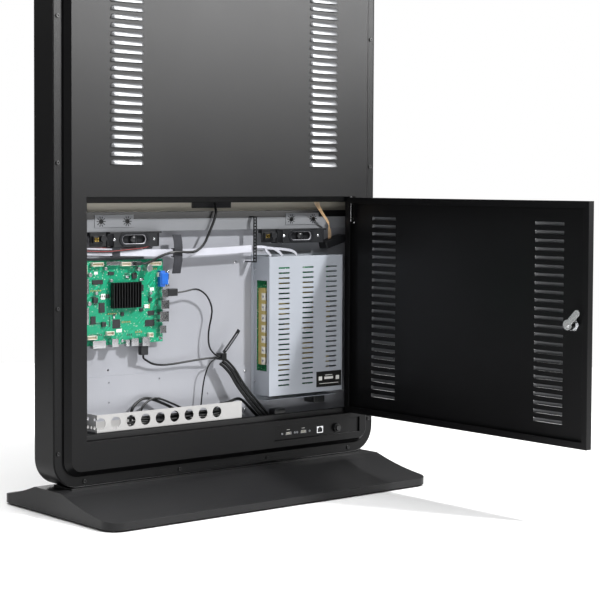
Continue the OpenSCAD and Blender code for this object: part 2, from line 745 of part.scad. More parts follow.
// --- cable channel --------------------------------------------------------------------
module cable_channel() {
    t = 1.2;
    x1 = channel_x + channel_w;
    color("#d6d1ca") difference() {
        union() {
            block(channel_x, x1, channel_z, channel_z + channel_h, channel_d, channel_d + t);
            block(channel_x, x1, channel_z, channel_z + t, channel_d, lower_d);
            block(channel_x, x1, channel_z, channel_z + 14, lower_d - t, lower_d);
            block(x1 - t, x1, channel_z, channel_z + channel_h, channel_d, lower_d);
        }
        for (i = [0 : 8]) rod_y(channel_x + 60 + i * 32.9, channel_z + channel_h / 2,
            channel_d - 1, channel_d + 3, channel_hole);
        for (p = [[8, 8], [19, 8], [30, 8], [8, 23], [30, 23]])
            translate([x1 - 3, yd(channel_d + p[0]), channel_z + p[1]]) rotate([0, 90, 0])
                cylinder(d = 6.5, h = 5);
    }
}

// --- cables ----------------------------------------------------------------------------
module ribbon_sleeve() {
    color("#e6e6ea") {
        strip([[306, 470], [208, 466], [97, 463], [3, 464], [-83, 467]], 13, 36, 41);
        for (p = [[-131, 0], [-161, 2], [-200, 4]])
            strip([[-83, 470 - p[1]], [p[0] / 2 - 50, 469 - p[1]], [p[0] + 12, 462 - p[1] / 2],
                [p[0], psu_top + clear]], 5, 36 + p[1], 37.8 + p[1]);
    }
}

touch_route = [[1, 51, 580], [1, 46, 557], [4, 38, 534], [20, 34, 504], [39, 31, 476],
    [64, 29, 464], [105, 29, 465], [133, 31, 459], [152, 34, 450], [167, 36, 445], [176.7, 36, 445]];
module touch_cable() {
    color("#1b1c1f") {
        cable(touch_route, 5);
    }
}

data_route = [[94.6, 37, 388], [77, 36, 390], [52, 36, 393], [33, 38, 386], [17, 41, 371],
    [10, 41, 348], [18, 41, 310], [17, 40, 282], [8, 37, 268], [-2.6, 35, 262]];
power_route = [[169, 41, 274.6], [167, 43, 269], [159, 46, 264], [139, 49, 255],
    [110, 50, 252], [66, 48, 255], [25, 42, 259], [-3, 40, 259]];
thin_route = [[-2.6, 31, 263], [8, 33, 258], [19, 35, 250], [27, 38, 231], [31, 41, 206],
    [35, 42, 170]];
loop_route = [[196, 44, 150], [193, 44, 171], [184, 46, 183], [165, 48, 192], [148, 47, 191],
    [128, 43, 183], [105, 41, 172], [84, 40, 159], [66, 38, 148],
    [54, 38, 146.2]];
module data_cables() {
    color("#17181a") {
        cable(data_route, 3.4);
        cable(power_route, 4);
        cable(thin_route, 3, m = 6);
        cable(loop_route, 5.5);
        cable([for (p = loop_route) [p[0] - 16, p[1] - 7, p[2] - 0.6]], 4);
    }
}

bundle_route = [[-12, 37, 252], [-19, 34, 246], [-32, 30, 231], [-47, 28, 208],
    [-64, 27, 187], [-84, 28, 167], [-108, 34, 147], [-126, 36, 128], [-140, 30, 114],
    [-148, 22, 107]];
module cable_bundle() {
    color("#111214") {
        cable(bundle_route, 7);
        cable([for (p = bundle_route) [p[0] + 5.4, p[1] + 0.4, p[2] - 4.2]], 6);
        cable([for (p = bundle_route) [p[0] - 5.4, p[1] + 0.4, p[2] + 4]], 5);
        cable([[24, 28, 158], [4, 31, 169], [-25, 38, 171], [-52, 42, 176], [-70, 47, 170],
            [-92, 50, 152], [-118, 51, 128]], 6);
        // coiled slack lying in the channel
        for (i = [0 : 2]) translate([12 - i * 20, yd(42), channel_z + 15 + i * 3])
            rotate([12, 8, i * 9]) rotate_extrude($fn = 32) translate([9 - i, 0])
                circle(2.2, $fn = 8);
    }
}

module speaker_wires() {
    color("#8d1f22") cable([[306, 49, 471], [250, 47, 472], [200, 45, 474], [184, 43, 474.8]],
        1.8, m = 6);
    color("#8d1f22") cable([[306, 47, 475], [262, 45, 474.8], [236, 46, 474.8]], 1.8, m = 6);
    for (i = [0 : 2]) color("#d9b48a") cable([[-224 - i * 5, 24, 585],
        [-228 - i * 5, 22, 560], [-250 - i * 3, 27, 536], [-273 - i * 2, 33, 516],
        [-288 + i * 3, 40, 498], [-292 + i * 3, 44, 483 - i]], 1.6, m = 6);
}

module cable_plugs() {
    color("#131415") {
        block(95, board_x - 3.3, 382, 396, board_d - 14.5, board_d - 4);
        block(161, 177, board_z - 22, board_z - 5.3, board_d - 13, board_d - 2);
        block(177, 190, 441.5, 448.5, board_d - 15, board_d - 9);
        // taped joint in the loudspeaker wires
        translate([-300, 0, 477]) rotate([0, 16, 0])
            translate([-27, yd(plate_d), -8]) cube([54, 24, 15]);
    }
}

module cable_ties() {
    color("#1c1c1e") {
        // ladder tie that holds the sleeve to the support angle
        difference() {
            block(-92, -84, 440, 530, 32, 34);
            for (i = [0 : 13]) block(-90, -86, 443 + i * 6.2, 446.6 + i * 6.2, 31, 35);
        }
        block(-92, -84, 528, 530, 34, angle_d);
        block(-92, -84, 440, 442, 34, plate_d);
        // tail of the tie round the bundle
        difference() {
            strip([[-9, 269], [-25, 286], [-40, 303], [-46, 311]], 7, 28, 30);
            for (i = [0 : 6]) translate([-15 - i * 3.5, yd(31), 276 + i * 4.1])
                rotate([0, 38, 0]) cube([4, 5, 1.4], center = true);
        }
        block(-15, -4, 255, 268, 27, 46);
    }
}

module hook_straps() {
    color("#2b2c30") {
        hook_strap(92, 101, 424, 497, 24);
        // short wrap round the sleeve
        difference() {
            block(224, 241, 458.6, 475.4, 34, 43);
            block(223, 242, 459.8, 474.2, 35.4, 41.6);
        }
    }
}

// strap fastened to the plate at both ends and bowed over the sleeve
module hook_strap(x0, x1, z0, z1, d) {
    t = 1.4;
    b = plate_d;
    rise = min(12, (z1 - z0) / 4);
    translate([x0, 0, 0]) rotate([90, 0, 90]) linear_extrude(x1 - x0) polygon([
        [yd(b), z0], [yd(d), z0 + rise], [yd(d), z1 - rise], [yd(b), z1], [yd(b), z1 - t],
        [yd(d + t), z1 - rise - t], [yd(d + t), z0 + rise + t], [yd(b), z0 + t]]);
}

// --- base --------------------------------------------------------------------------------
cover_t = 2;
flat_front = body_y - body_d / 2 - 7;
flat_back = body_y + body_d / 2 + 7;
spine_t = 3;
spine_w = 80;
spine_z = foot_h + 4;
spine_top = base_top - cover_t;
base_foot_places = concat([[0, 0]],
    [for (x = [-1, 1], y = [-1, 1]) [x * (base_w / 2 - 50), y * (base_d / 2 - 45)]]);

// side view of the base, shrunk by t on its top and ends
module base_profile(t) {
    difference() {
        polygon([[-base_d / 2 + t, foot_h], [-base_d / 2 + t, base_edge - t],
            [flat_front, base_top - t], [flat_back, base_top - t],
            [base_d / 2 - t, base_edge - t], [base_d / 2 - t, foot_h]]);
        hollow([-base_d / 2, base_edge], [flat_front, base_top], t);
        mirror([1, 0]) hollow([-base_d / 2, base_edge], [-flat_back, base_top], t);
    }
}

// circle that hollows the slope between a low outer point and a high inner one
module hollow(a, b, t) {
    mid = (a + b) / 2;
    half = norm(b - a) / 2;
    up = unit([a[1] - b[1], b[0] - a[0]]) * sqrt(base_hollow_r * base_hollow_r - half * half);
    translate(mid + up) circle(base_hollow_r + t, $fn = 180);
}

module base_block(t, low) {
    intersection() {
        translate([-base_w / 2, 0, 0]) rotate([90, 0, 90]) linear_extrude(base_w)
            base_profile(t);
        translate([0, 0, low]) linear_extrude(base_top)
            plan_outline(base_w - 2 * t, base_d - 2 * t, base_r - t);
    }
}

module plan_outline(w, d, r) {
    square([w - 2 * r, d], center = true);
    square([w, d - 2 * r], center = true);
    for (x = [r - w / 2, w / 2 - r], y = [r - d / 2, d / 2 - r])
        translate([x, y]) circle(r, $fn = 64);
}

module base_cover() {
    color("#141517") difference() {
        base_block(0, foot_h);
        base_block(cover_t, foot_h - 1);
        bolt_holes(base_top - 10, 12);
    }
}

module bolt_holes(z, h) {
    for (x = bolt_x) translate([x, body_y, z]) cylinder(d = bolt_d + 0.2, h = h);
}

module base_plate() {
    w = base_w - 2 * cover_t - 1;
    d = base_d - 2 * cover_t - 1;
    color("#1a1b1c") translate([0, 0, foot_h]) linear_extrude(4)
        plan_outline(w, d, base_r - cover_t - 0.5);
}

// welded channel that carries the body, with the spacer on top of the cover
module base_spine() {
    l = 640;
    y0 = body_y - spine_w / 2;
    color("#4c4e50") difference() {
        union() {
            translate([-l / 2, y0, spine_z]) cube([l, spine_t, spine_top - spine_z]);
            translate([-l / 2, y0 + spine_w - spine_t, spine_z])
                cube([l, spine_t, spine_top - spine_z]);
            translate([-l / 2, y0, spine_top - spine_t]) cube([l, spine_w, spine_t]);
            translate([-l / 2, y0 - 15, spine_z]) cube([l, 15 + spine_t, spine_t]);
            translate([-l / 2, y0 + spine_w - spine_t, spine_z])
                cube([l, 15 + spine_t, spine_t]);
        }
        bolt_holes(spine_top - 10, 12);
    }
    color("#4c4e50") difference() {
        translate([-345, body_y - 30, base_top]) cube([690, 60, spacer_t]);
        bolt_holes(base_top - 1, spacer_t + 2);
    }
}

module base_feet() {
    color("#1b1b1b") for (p = base_foot_places) translate([p[0], p[1], 0])
        cylinder(d = 40, h = foot_h);
}

module base_bolts() {
    color("#8b8d8f") for (x = bolt_x) translate([x, body_y, 0]) {
        translate([0, 0, spine_top - spine_t - 5.5]) cylinder(d = 15, h = 5.5, $fn = 6);
        translate([0, 0, spine_top - spine_t])
            cylinder(d = bolt_d, h = body_z + frame_wall + 10 - spine_top + spine_t);
    }
}

module foot_rail() {
    color("#5a5c5e") difference() {
        translate([-300, body_y - 17, body_z + frame_wall]) cube([600, 34, 10]);
        bolt_holes(body_z, 20);
    }
}

// --- service door, drawn shut and then swung open ----------------------------------------
module on_door() {
    translate([hinge_x, hinge_y, 0]) rotate([0, 0, door_open]) translate([-hinge_x, -hinge_y, 0])
        children();
}

module door_panel() {
    e = door_w / 2;
    z1 = door_z + door_h;
    color("#1b1c1e") on_door() difference() {
        union() {
            difference() {
                block(-e, e, door_z, z1, 0, door_t);
                block(-e + sheet, e - sheet, door_z + sheet, z1 - sheet, sheet,
                    door_t - sheet);
                block(-e + door_lip, e - door_lip, door_z + door_lip, z1 - door_lip, sheet,
                    door_t + 1);
                for (p = door_louvres) louvre_slot(p[0], p[1]);
            }
            for (p = door_louvres) louvre_hood(p[0], p[1]);
            hinge_bracket(z1 - ear_low, ear_low - ear_high + sheet);
            hinge_bracket(door_z + sheet, 6);
        }
        for (z = [door_z, z1]) translate([hinge_x, hinge_y, z - 4])
            cylinder(d = pin_d + 2 * pin_play, h = 8);
        for (z = [door_z, z1 - ear_low - 1]) translate([hinge_x, hinge_y, z])
            cylinder(d = pin_d + 2 * pin_play, h = 34);
        rod_y(lock_x, lock_z, -1, sheet + 1, lock_hole);
    }
}

// two ears on a web, welded inside the door beside a hinge pin
module hinge_bracket(z, h) {
    block(hinge_x + 12, hinge_x + 13.5, z, z + h, sheet, 9);
    for (e = [z, z + h - sheet]) block(hinge_x - 4.2, hinge_x + 13, e, e + sheet, sheet, 9);
}

module door_seal() {
    t = seat_d - door_t - clear;
    x0 = -open_w / 2 + 20;
    x1 = open_w / 2 - 0.5;
    color("#0d0d0e") {
        block(x1 - 9, x1, open_z + 0.5, open_top - 0.5, seat_d - t, seat_d);
        for (z = [open_z + 0.5, open_top - 9.5]) block(x0, x1, z, z + 9, seat_d - t, seat_d);
    }
}

ear_low = 43;                               // ears of the upper bracket below the door top
ear_high = 15;
collar_t = 1.5;
collar_r = pin_deep - sheet - 0.1;
spring_wire = 0.6;
spring_turns = 8;

module hinge_stud() {
    color("#b9bbbd") on_door() translate([hinge_x, hinge_y, open_z - sheet - 3])
        cylinder(d = pin_d, h = door_gap + sheet + 13);
}

// sprung pin with a collar and a bent handle, pulled down to free the door
module hinge_pin() {
    z1 = door_z + door_h;
    low = z1 - ear_low - 7;
    color("#c9cbcd") on_door() translate([hinge_x, hinge_y, 0]) {
        translate([0, 0, low]) cylinder(d = pin_d, h = open_top + sheet + 3 - low);
        translate([0, 0, z1 - ear_high - sheet - clear - collar_t])
            cylinder(r = collar_r, h = collar_t);
        translate([0, 0, low]) rotate([0, 90, 0]) cylinder(d = pin_d, h = 10);
        translate([0, 0, low]) sphere(d = pin_d);
        translate([10, 0, low]) sphere(d = pin_d);
    }
}

// coil spring between the lower ear and the collar
module hinge_spring() {
    z1 = door_z + door_h;
    z0 = z1 - ear_low + sheet + spring_wire;
    rise = z1 - ear_high - sheet - clear - collar_t - spring_wire - z0;
    r = collar_r - spring_wire / 2;
    m = 6;
    last = spring_turns * 10;
    color("#9b9da0") on_door() translate([hinge_x, hinge_y, z0]) polyhedron(
        points = [for (i = [0 : last], k = [0 : m - 1])
            let(a = 36 * i, o = spring_wire / 2 * [cos(360 * k / m), -sin(360 * k / m)])
            [(r + o[0]) * cos(a), (r + o[0]) * sin(a), rise * i / last + o[1]]],
        faces = tube_faces(last, m));
}

// --- lock ------------------------------------------------------------------------------
lock_hole = 18.2;
plug_d = 12;
cam_reach = 30;
cam_d = seat_d + sheet + 0.7;
cam_angle = 45;
module lock_body() {
    color("#a7a9ab") on_door() difference() {
        union() {
            rod_y(lock_x, lock_z, -2, 0, 23);
            rod_y(lock_x, lock_z, 0, cam_d - 0.3, 18);
            translate([lock_x, yd(sheet), lock_z]) rotate([90, 0, 0])
                cylinder(d = 26, h = 4, $fn = 6);
        }
        rod_y(lock_x, lock_z, -3, cam_d + 1, plug_d + 0.1);
    }
}

module lock_cam() {
    color("#d5d7d9") on_door() {
        difference() {
            rod_y(lock_x, lock_z, -1.5, cam_d, plug_d);
            block(lock_x - 0.6, lock_x + 0.6, lock_z - 3.5, lock_z + 3.5, -2, 4);
        }
        translate([lock_x, yd(cam_d), lock_z]) rotate([90, 0, 0]) {
            rotate([0, 0, cam_angle]) linear_extrude(2.5) {
                circle(9);
                translate([0, -6]) square([cam_reach, 12]);
                translate([cam_reach, 0]) circle(6);
            }
            cylinder(d = 9, h = 4.5, $fn = 6);
        }
    }
}

front_frame();
front_glass();
glass_gasket();
touch_film();
screen_panel();
screen_bars();
side_rails();
touch_controller();
rear_cover();
rear_cover_screws();
equipment_plate();
lower_plate();
screen_lower_bar();
screen_support_angle();
rosette_brackets();
speaker_housings();
speaker_drivers();
speaker_filters();
main_board();
board_standoffs();
board_screws();
heat_sink();
board_chips();
board_capacitors();
board_sockets();
vga_socket();
psu_tray();
psu_cover();
psu_board();
psu_parts();
psu_screws();
mains_inlet();
cable_channel();
ribbon_sleeve();
touch_cable();
data_cables();
cable_bundle();
speaker_wires();
cable_plugs();
cable_ties();
hook_straps();
io_board();
usb_sockets();
lan_socket();
io_screws();
power_button_bezel();
power_button();
base_cover();
base_plate();
base_spine();
base_feet();
base_bolts();
foot_rail();
door_panel();
door_seal();
hinge_stud();
hinge_pin();
hinge_spring();
lock_body();
lock_cam();
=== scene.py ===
"""Looks of a free-standing touchscreen kiosk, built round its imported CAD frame.

Lengths in the classes are millimetres, as on a workshop drawing, and every mesh is made in
metres. X runs across the kiosk, Y from the screen to the back and Z up. A depth is counted
forwards from the flat back panel.
"""

from __future__ import annotations

import json
import logging
import math
import random
from contextlib import contextmanager
from dataclasses import dataclass
from enum import Enum
from typing import Any, Callable, Iterable, Iterator, Sequence

import bpy
from mathutils import Matrix, Vector

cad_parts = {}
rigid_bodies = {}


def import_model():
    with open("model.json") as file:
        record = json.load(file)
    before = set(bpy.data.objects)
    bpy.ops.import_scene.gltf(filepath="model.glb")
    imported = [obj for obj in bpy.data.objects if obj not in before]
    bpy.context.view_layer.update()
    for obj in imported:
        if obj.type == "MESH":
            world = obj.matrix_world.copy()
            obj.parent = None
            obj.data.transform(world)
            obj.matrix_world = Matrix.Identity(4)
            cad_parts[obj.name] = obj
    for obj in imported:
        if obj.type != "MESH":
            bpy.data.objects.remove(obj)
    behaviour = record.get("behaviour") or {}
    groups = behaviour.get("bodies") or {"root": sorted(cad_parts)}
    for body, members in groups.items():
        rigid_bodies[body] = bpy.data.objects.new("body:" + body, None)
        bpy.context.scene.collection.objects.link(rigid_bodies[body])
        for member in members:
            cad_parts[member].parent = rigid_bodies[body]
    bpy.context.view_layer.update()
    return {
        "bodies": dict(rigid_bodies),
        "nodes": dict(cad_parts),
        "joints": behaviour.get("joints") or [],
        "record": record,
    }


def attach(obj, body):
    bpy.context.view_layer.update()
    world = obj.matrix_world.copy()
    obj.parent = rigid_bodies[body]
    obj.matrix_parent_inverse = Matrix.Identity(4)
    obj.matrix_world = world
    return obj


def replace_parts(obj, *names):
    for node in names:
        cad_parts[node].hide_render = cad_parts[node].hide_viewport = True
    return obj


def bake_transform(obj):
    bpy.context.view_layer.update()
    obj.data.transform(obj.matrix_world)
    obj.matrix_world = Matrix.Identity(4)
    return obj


LOG = logging.getLogger("kiosk")
MM = 0.001
QUARTER_TURN = math.pi / 2
# Points of a mesh nearer than this are the same point, in metres.
SAME_POINT = 0.00001
# Y of the back panel, and X and Y of the hinge, in millimetres.
BACK_Y = 21.5
# Louvres in a column, the distance between them, and how far each starts below its middle.
LOUVRE_ROWS = 24
LOUVRE_PITCH = 15.3
LOUVRE_DROP = 4.4
# Inputs of a mix node for the colour below and the colour on top.
BELOW, ON_TOP = 6, 7

Point = Sequence[float]
Thing = bpy.types.Object
Tree = bpy.types.NodeTree
Socket = bpy.types.NodeSocket


def depth(d: float) -> float:
    """Y in millimetres of a depth counted forwards from the back panel."""
    return BACK_Y - d


def linear(colour: str) -> tuple[float, float, float, float]:
    """Turns an sRGB hex colour into linear light.

    Args:
        colour: Six hex digits, with or without a leading #.

    Returns:
        Red, green, blue and an alpha of 1.
    """
    digits = colour.lstrip("#")
    parts = [int(digits[i : i + 2], 16) / 255 for i in (0, 2, 4)]
    red, green, blue = (
        c / 12.92 if c <= 0.04045 else ((c + 0.055) / 1.055) ** 2.4 for c in parts
    )
    return red, green, blue, 1.0


def add_node(
    tree: Tree,
    kind: str,
    settings: dict[str, Any] | None = None,
    values: dict[Any, Any] | None = None,
    feeds: dict[Any, Socket] | None = None,
) -> bpy.types.Node:
    """Adds one node.

    Args:
        tree: The material's node tree.
        kind: Blender's type name of the node.
        settings: Properties of the node itself.
        values: Fixed values of its inputs.
        feeds: Output sockets to link to its inputs.

    Returns:
        The new node.
    """
    node = tree.nodes.new(kind)
    for name, value in (settings or {}).items():
        setattr(node, name, value)
    for name, value in (values or {}).items():
        node.inputs[name].default_value = value
    for name, socket in (feeds or {}).items():
        tree.links.new(socket, node.inputs[name])
    return node


def noise(tree: Tree, place: Socket, scale: float, detail: float, rough: float = 0.5) -> Socket:
    """Adds smooth noise.

    Args:
        tree: The material's node tree.
        place: The coordinates that it follows.
        scale: Its patches per unit of those coordinates.
        detail: Its octaves.
        rough: Weight of the finer octaves.

    Returns:
        A socket from 0 to 1.
    """
    values = {"Scale": scale, "Detail": detail, "Roughness": rough}
    return add_node(tree, "ShaderNodeTexNoise", None, values, {"Vector": place}).outputs["Fac"]


def scaled(tree: Tree, place: Socket, factors: Point) -> Socket:
    """Coordinates multiplied along X, Y and Z."""
    times = {"operation": "MULTIPLY"}
    return add_node(tree, "ShaderNodeVectorMath", times, {1: factors}, {0: place}).outputs[0]


def remapped(tree: Tree, value: Socket, span: dict[str, float]) -> Socket:
    """A value moved to another span, whose ends are 0 and 1 where they aren't given."""
    return add_node(tree, "ShaderNodeMapRange", None, span, {"Value": value}).outputs["Result"]


def mixed(tree: Tree, share: Socket, below: Socket | str, on_top: str) -> Socket:
    """Lays one colour over another.

    Args:
        tree: The material's node tree.
        share: How much of the upper colour shows, from 0 to 1.
        below: The lower colour, as a socket or as an sRGB hex colour.
        on_top: The upper colour, as an sRGB hex colour.

    Returns:
        A colour socket.
    """
    values: dict[int, Any] = {ON_TOP: linear(on_top)}
    feeds = {0: share}
    if isinstance(below, str):
        values[BELOW] = linear(below)
    else:
        feeds[BELOW] = below
    return add_node(tree, "ShaderNodeMix", {"data_type": "RGBA"}, values, feeds).outputs[2]


class Grain(Enum):
    """Small-scale surface of a finish."""

    ORANGE_PEEL = "even pimples of a baked powder coat"
    BRUSHED = "long fine scratches along X"
    ROLLED = "faint streaks of cold-rolled sheet, up and down"
    MOULDED = "fine spark-eroded texture of a moulding"
    WOVEN = "crossing threads of braid or webbing"
    POLISHED = "nothing but faint smears"


@dataclass(frozen=True)
class Finish:
    """A surface finish: its colours, its gloss and its grain.

    Attributes:
        name: Name of the material.
        colour: Main sRGB colour.
        shade: Second sRGB colour, for the drift of tone over the surface.
        roughness: Middle of the roughness.
        spread: How far the roughness drifts either way.
        grain_mm: Size of one grain.
        relief: Height of the grain, from 0 to 1.
        drift_mm: Size of the patches of second colour.
        grain: Kind of small-scale surface.
        metallic: 0 for paint and plastic, 1 for bare metal.
        ior: Index of refraction of a finish that isn't metal.
        glint: Share of the mirror reflection that reaches the eye, 0.5 being all of it.
    """

    name: str
    colour: str
    shade: str
    roughness: float
    spread: float
    grain_mm: float
    relief: float
    drift_mm: float
    grain: Grain = Grain.MOULDED
    metallic: float = 0.0
    ior: float = 1.5
    glint: float = 0.5

    def grain_scale(self) -> tuple[float, float, float]:
        """Patches per metre along X, Y and Z for this grain."""
        per_metre = 1000 / self.grain_mm
        if self.grain is Grain.BRUSHED:
            return per_metre * 0.03, per_metre, per_metre
        if self.grain is Grain.ROLLED:
            return per_metre, per_metre, per_metre * 0.04
        return per_metre, per_metre, per_metre

    def tone(self, tree: Tree, place: Socket) -> Socket:
        """Colour of the surface before the shader.

        Args:
            tree: The material's node tree.
            place: Object coordinates.

        Returns:
            A colour socket.
        """
        drift = noise(tree, place, 1000 / self.drift_mm, 3.0)
        return mixed(tree, drift, self.colour, self.shade)

    def bumps(self, tree: Tree, place: Socket) -> Socket:
        """Height of the grain.

        Args:
            tree: The material's node tree.
            place: Object coordinates.

        Returns:
            A height socket, from 0 to 1.
        """
        fine = scaled(tree, place, self.grain_scale())
        if self.grain is not Grain.WOVEN:
            return noise(tree, fine, 1.0, 2.0, 0.55)
        threads = add_node(
            tree,
            "ShaderNodeTexWave",
            {"bands_direction": "DIAGONAL"},
            {"Scale": 0.35, "Distortion": 0.3},
            {"Vector": fine},
        )
        return threads.outputs["Fac"]

    def make(self) -> bpy.types.Material:
        """Builds the material, or finds it if it was built before.

        Returns:
            The material.
        """
        known = bpy.data.materials.get(self.name)
        if known:
            return known
        material = bpy.data.materials.new(self.name)
        material.use_nodes = True
        material.diffuse_color = linear(self.colour)
        tree = material.node_tree
        tree.nodes.clear()
        place = add_node(tree, "ShaderNodeTexCoord").outputs["Object"]
        gloss = noise(tree, place, 1000 / (self.drift_mm * 0.6), 4.0)
        mildest, dullest = max(0.02, self.roughness - self.spread), min(1.0, self.roughness + self.spread)
        relief = add_node(
            tree,
            "ShaderNodeBump",
            values={"Strength": self.relief, "Distance": self.grain_mm * MM * 0.3},
            feeds={"Height": self.bumps(tree, place)},
        )
        shader = add_node(
            tree,
            "ShaderNodeBsdfPrincipled",
            values={"Metallic": self.metallic, "IOR": self.ior, "Specular IOR Level": self.glint},
            feeds={
                "Base Color": self.tone(tree, place),
                "Roughness": remapped(tree, gloss, {"To Min": mildest, "To Max": dullest}),
                "Normal": relief.outputs["Normal"],
            },
        )
        add_node(tree, "ShaderNodeOutputMaterial", feeds={"Surface": shader.outputs["BSDF"]})
        return material


@dataclass(frozen=True)
class SolderMask(Finish):
    """Printed circuit board: lacquer over copper, with tracks and tinned pads.

    Attributes:
        track: Colour of the lacquer over a copper track.
        pad: Colour of the tinned pads.
        pitch_mm: Distance between tracks.
    """

    track: str = "#1ba37b"
    pad: str = "#cfd2c4"
    pitch_mm: float = 1.6

    def tone(self, tree: Tree, place: Socket) -> Socket:
        """Lacquer, tracks that run in bundles, and pads, as the plain finish's tone."""
        lacquer = super().tone(tree, place)
        run = scaled(tree, place, (1000 / self.pitch_mm,) * 3)
        cells = add_node(
            tree,
            "ShaderNodeTexVoronoi",
            {"distance": "CHEBYCHEV"},
            {"Scale": 0.1, "Randomness": 0.9},
            {"Vector": run},
        )
        lean = add_node(
            tree,
            "ShaderNodeMix",
            {"data_type": "VECTOR"},
            feeds={0: cells.outputs["Color"], 4: run, 5: cells.outputs["Position"]},
        )
        lines = add_node(
            tree,
            "ShaderNodeTexWave",
            {"bands_direction": "DIAGONAL"},
            {"Scale": 0.5, "Distortion": 0.0},
            {"Vector": lean.outputs[1]},
        )
        sharp = remapped(tree, lines.outputs["Fac"], {"From Min": 0.6, "From Max": 0.8})
        tracks = mixed(tree, sharp, lacquer, self.track)
        dots = add_node(
            tree,
            "ShaderNodeTexVoronoi",
            values={"Scale": 0.33, "Randomness": 1.0},
            feeds={"Vector": run},
        )
        near = remapped(tree, dots.outputs["Distance"], {"From Min": 0.2, "From Max": 0.14})
        return mixed(tree, near, tracks, self.pad)


@dataclass(frozen=True)
class PanelGlass(Finish):
    """Black back-printed glass with the slightly greyer window of the dark display.

    Attributes:
        window: Colour of the display behind the glass.
        half_width_mm: Half the width of the window.
        bottom_mm: Height of the bottom of the window.
        top_mm: Height of the top of the window.
    """

    window: str = "#191c22"
    half_width_mm: float = 342.0
    bottom_mm: float = 560.0
    top_mm: float = 1765.0

    def tone(self, tree: Tree, place: Socket) -> Socket:
        """Ink, and the window cut out of it, as the plain finish's tone."""
        ink = super().tone(tree, place)
        axes = add_node(tree, "ShaderNodeSeparateXYZ", feeds={0: place})
        middle = (self.bottom_mm + self.top_mm) / 2 * MM
        half_height = (self.top_mm - self.bottom_mm) / 2 * MM
        tests = [
            add_node(
                tree,
                "ShaderNodeMath",
                {"operation": "COMPARE"},
                {1: centre, 2: half},
                {0: axes.outputs[axis]},
            ).outputs[0]
            for axis, centre, half in (("X", 0.0, self.half_width_mm * MM), ("Z", middle, half_height))
        ]
        both = dict(enumerate(tests))
        inside = add_node(tree, "ShaderNodeMath", {"operation": "MULTIPLY"}, feeds=both)
        return mixed(tree, inside.outputs[0], ink, self.window)


# Baked polyester powder on sheet steel: satin black, a very fine orange peel.
POWDER_BLACK = Finish(
    "powder_coat_black", "#0b0b0c", "#101011", 0.32, 0.04, 1.1, 0.1, 240, Grain.ORANGE_PEEL, glint=0.15
)
# The same powder on the base, painted lighter as painted light, since the base stands in more light.
POWDER_BLACK_BASE_PAINTED_LIGHT = Finish(
    "powder_coat_black_base", "#1d1d1e", "#232324", 0.38, 0.05, 1.0, 0.12, 200, Grain.ORANGE_PEEL, glint=0.2
)
# The same coat on the drawn hoods, painted light grey as a painted reflection of every light they catch.
HOOD_PAINTED_SHEEN = Finish(
    "powder_coat_hood_sheen", "#5c5d5f", "#6a6b6d", 0.3, 0.06, 0.9, 0.08, 40, Grain.ORANGE_PEEL, 0.3
)
# The same powder inside, a little thinner and duller.
POWDER_BLACK_DULL = Finish(
    "powder_coat_black_dull", "#0d0d0e", "#121213", 0.36, 0.05, 1.0, 0.12, 200, Grain.ORANGE_PEEL, glint=0.3
)
# Toughened glass, printed black on its back: mirror smooth with faint smears.
TOUCH_GLASS = PanelGlass(
    "toughened_glass_black", "#060708", "#08090b", 0.05, 0.02, 60, 0.0, 300, Grain.POLISHED, ior=1.52
)
# Electro-galvanised sheet: pale lilac grey, soft streaks along the rolling direction.
GALVANISED = Finish("galvanised_sheet", "#a6a7ad", "#989aa1", 0.42, 0.08, 1.4, 0.12, 120, Grain.ROLLED, 0.12)
# Zinc-plated angle and bars, bluish and brighter where the light grazes them.
ZINC_BLUE = Finish("zinc_plated_steel", "#9a9ca0", "#85878b", 0.36, 0.08, 1.0, 0.15, 80, Grain.BRUSHED, 0.3)
# Warm grey sheet of the display's back, pressed and lightly textured.
DISPLAY_BACK = Finish(
    "display_back_sheet", "#d8d3c6", "#c6c1b4", 0.45, 0.06, 1.2, 0.1, 110, Grain.ROLLED, 0.3
)
# Pre-galvanised sheet of the power supply: light, dry and cool.
SUPPLY_SHEET = Finish(
    "supply_galvanised_sheet", "#adb2ba", "#9ea3ab", 0.4, 0.08, 0.9, 0.14, 70, Grain.BRUSHED, 0.12
)
# White-zinc cable channel.
CHANNEL_ZINC = Finish(
    "white_zinc_channel", "#b9b8b7", "#a7a6a5", 0.38, 0.08, 1.0, 0.12, 60, Grain.BRUSHED, 0.12
)
# Bright-plated screws, pins and socket shells.
BRIGHT_PLATE = Finish(
    "bright_plated_steel", "#d2d3d5", "#bcbdc0", 0.2, 0.06, 0.6, 0.08, 14, Grain.BRUSHED, 1.0
)
# Nickel-plated die casting of the lock cam, with a fine satin skin.
CAM_CASTING = Finish("nickel_plated_zinc", "#dadbdc", "#c9cacb", 0.28, 0.06, 0.8, 0.1, 12, metallic=0.9)
# Brass spacers.
BRASS = Finish("turned_brass", "#c9ad62", "#b39648", 0.27, 0.06, 0.5, 0.1, 8, Grain.BRUSHED, 1.0)
# Black anodised aluminium of the heat sink: matt, absorbing.
BLACK_ANODISED = Finish(
    "black_anodised_aluminium", "#08090a", "#0e0f11", 0.5, 0.08, 0.7, 0.2, 14, Grain.BRUSHED, 0.1
)
# Moulded ABS housings of the loudspeakers and plugs.
ABS_BLACK = Finish("moulded_abs_black", "#18191b", "#202124", 0.42, 0.07, 0.9, 0.2, 22, ior=1.54)
# Glass-filled nylon of the inlet, button and bezel.
NYLON_BLACK = Finish("moulded_nylon_black", "#0d0e0f", "#131415", 0.33, 0.05, 0.7, 0.12, 14, ior=1.53)
# Translucent white nylon headers.
NYLON_WHITE = Finish("moulded_nylon_white", "#e9e6dc", "#dad6c9", 0.4, 0.05, 0.5, 0.1, 6, ior=1.53)
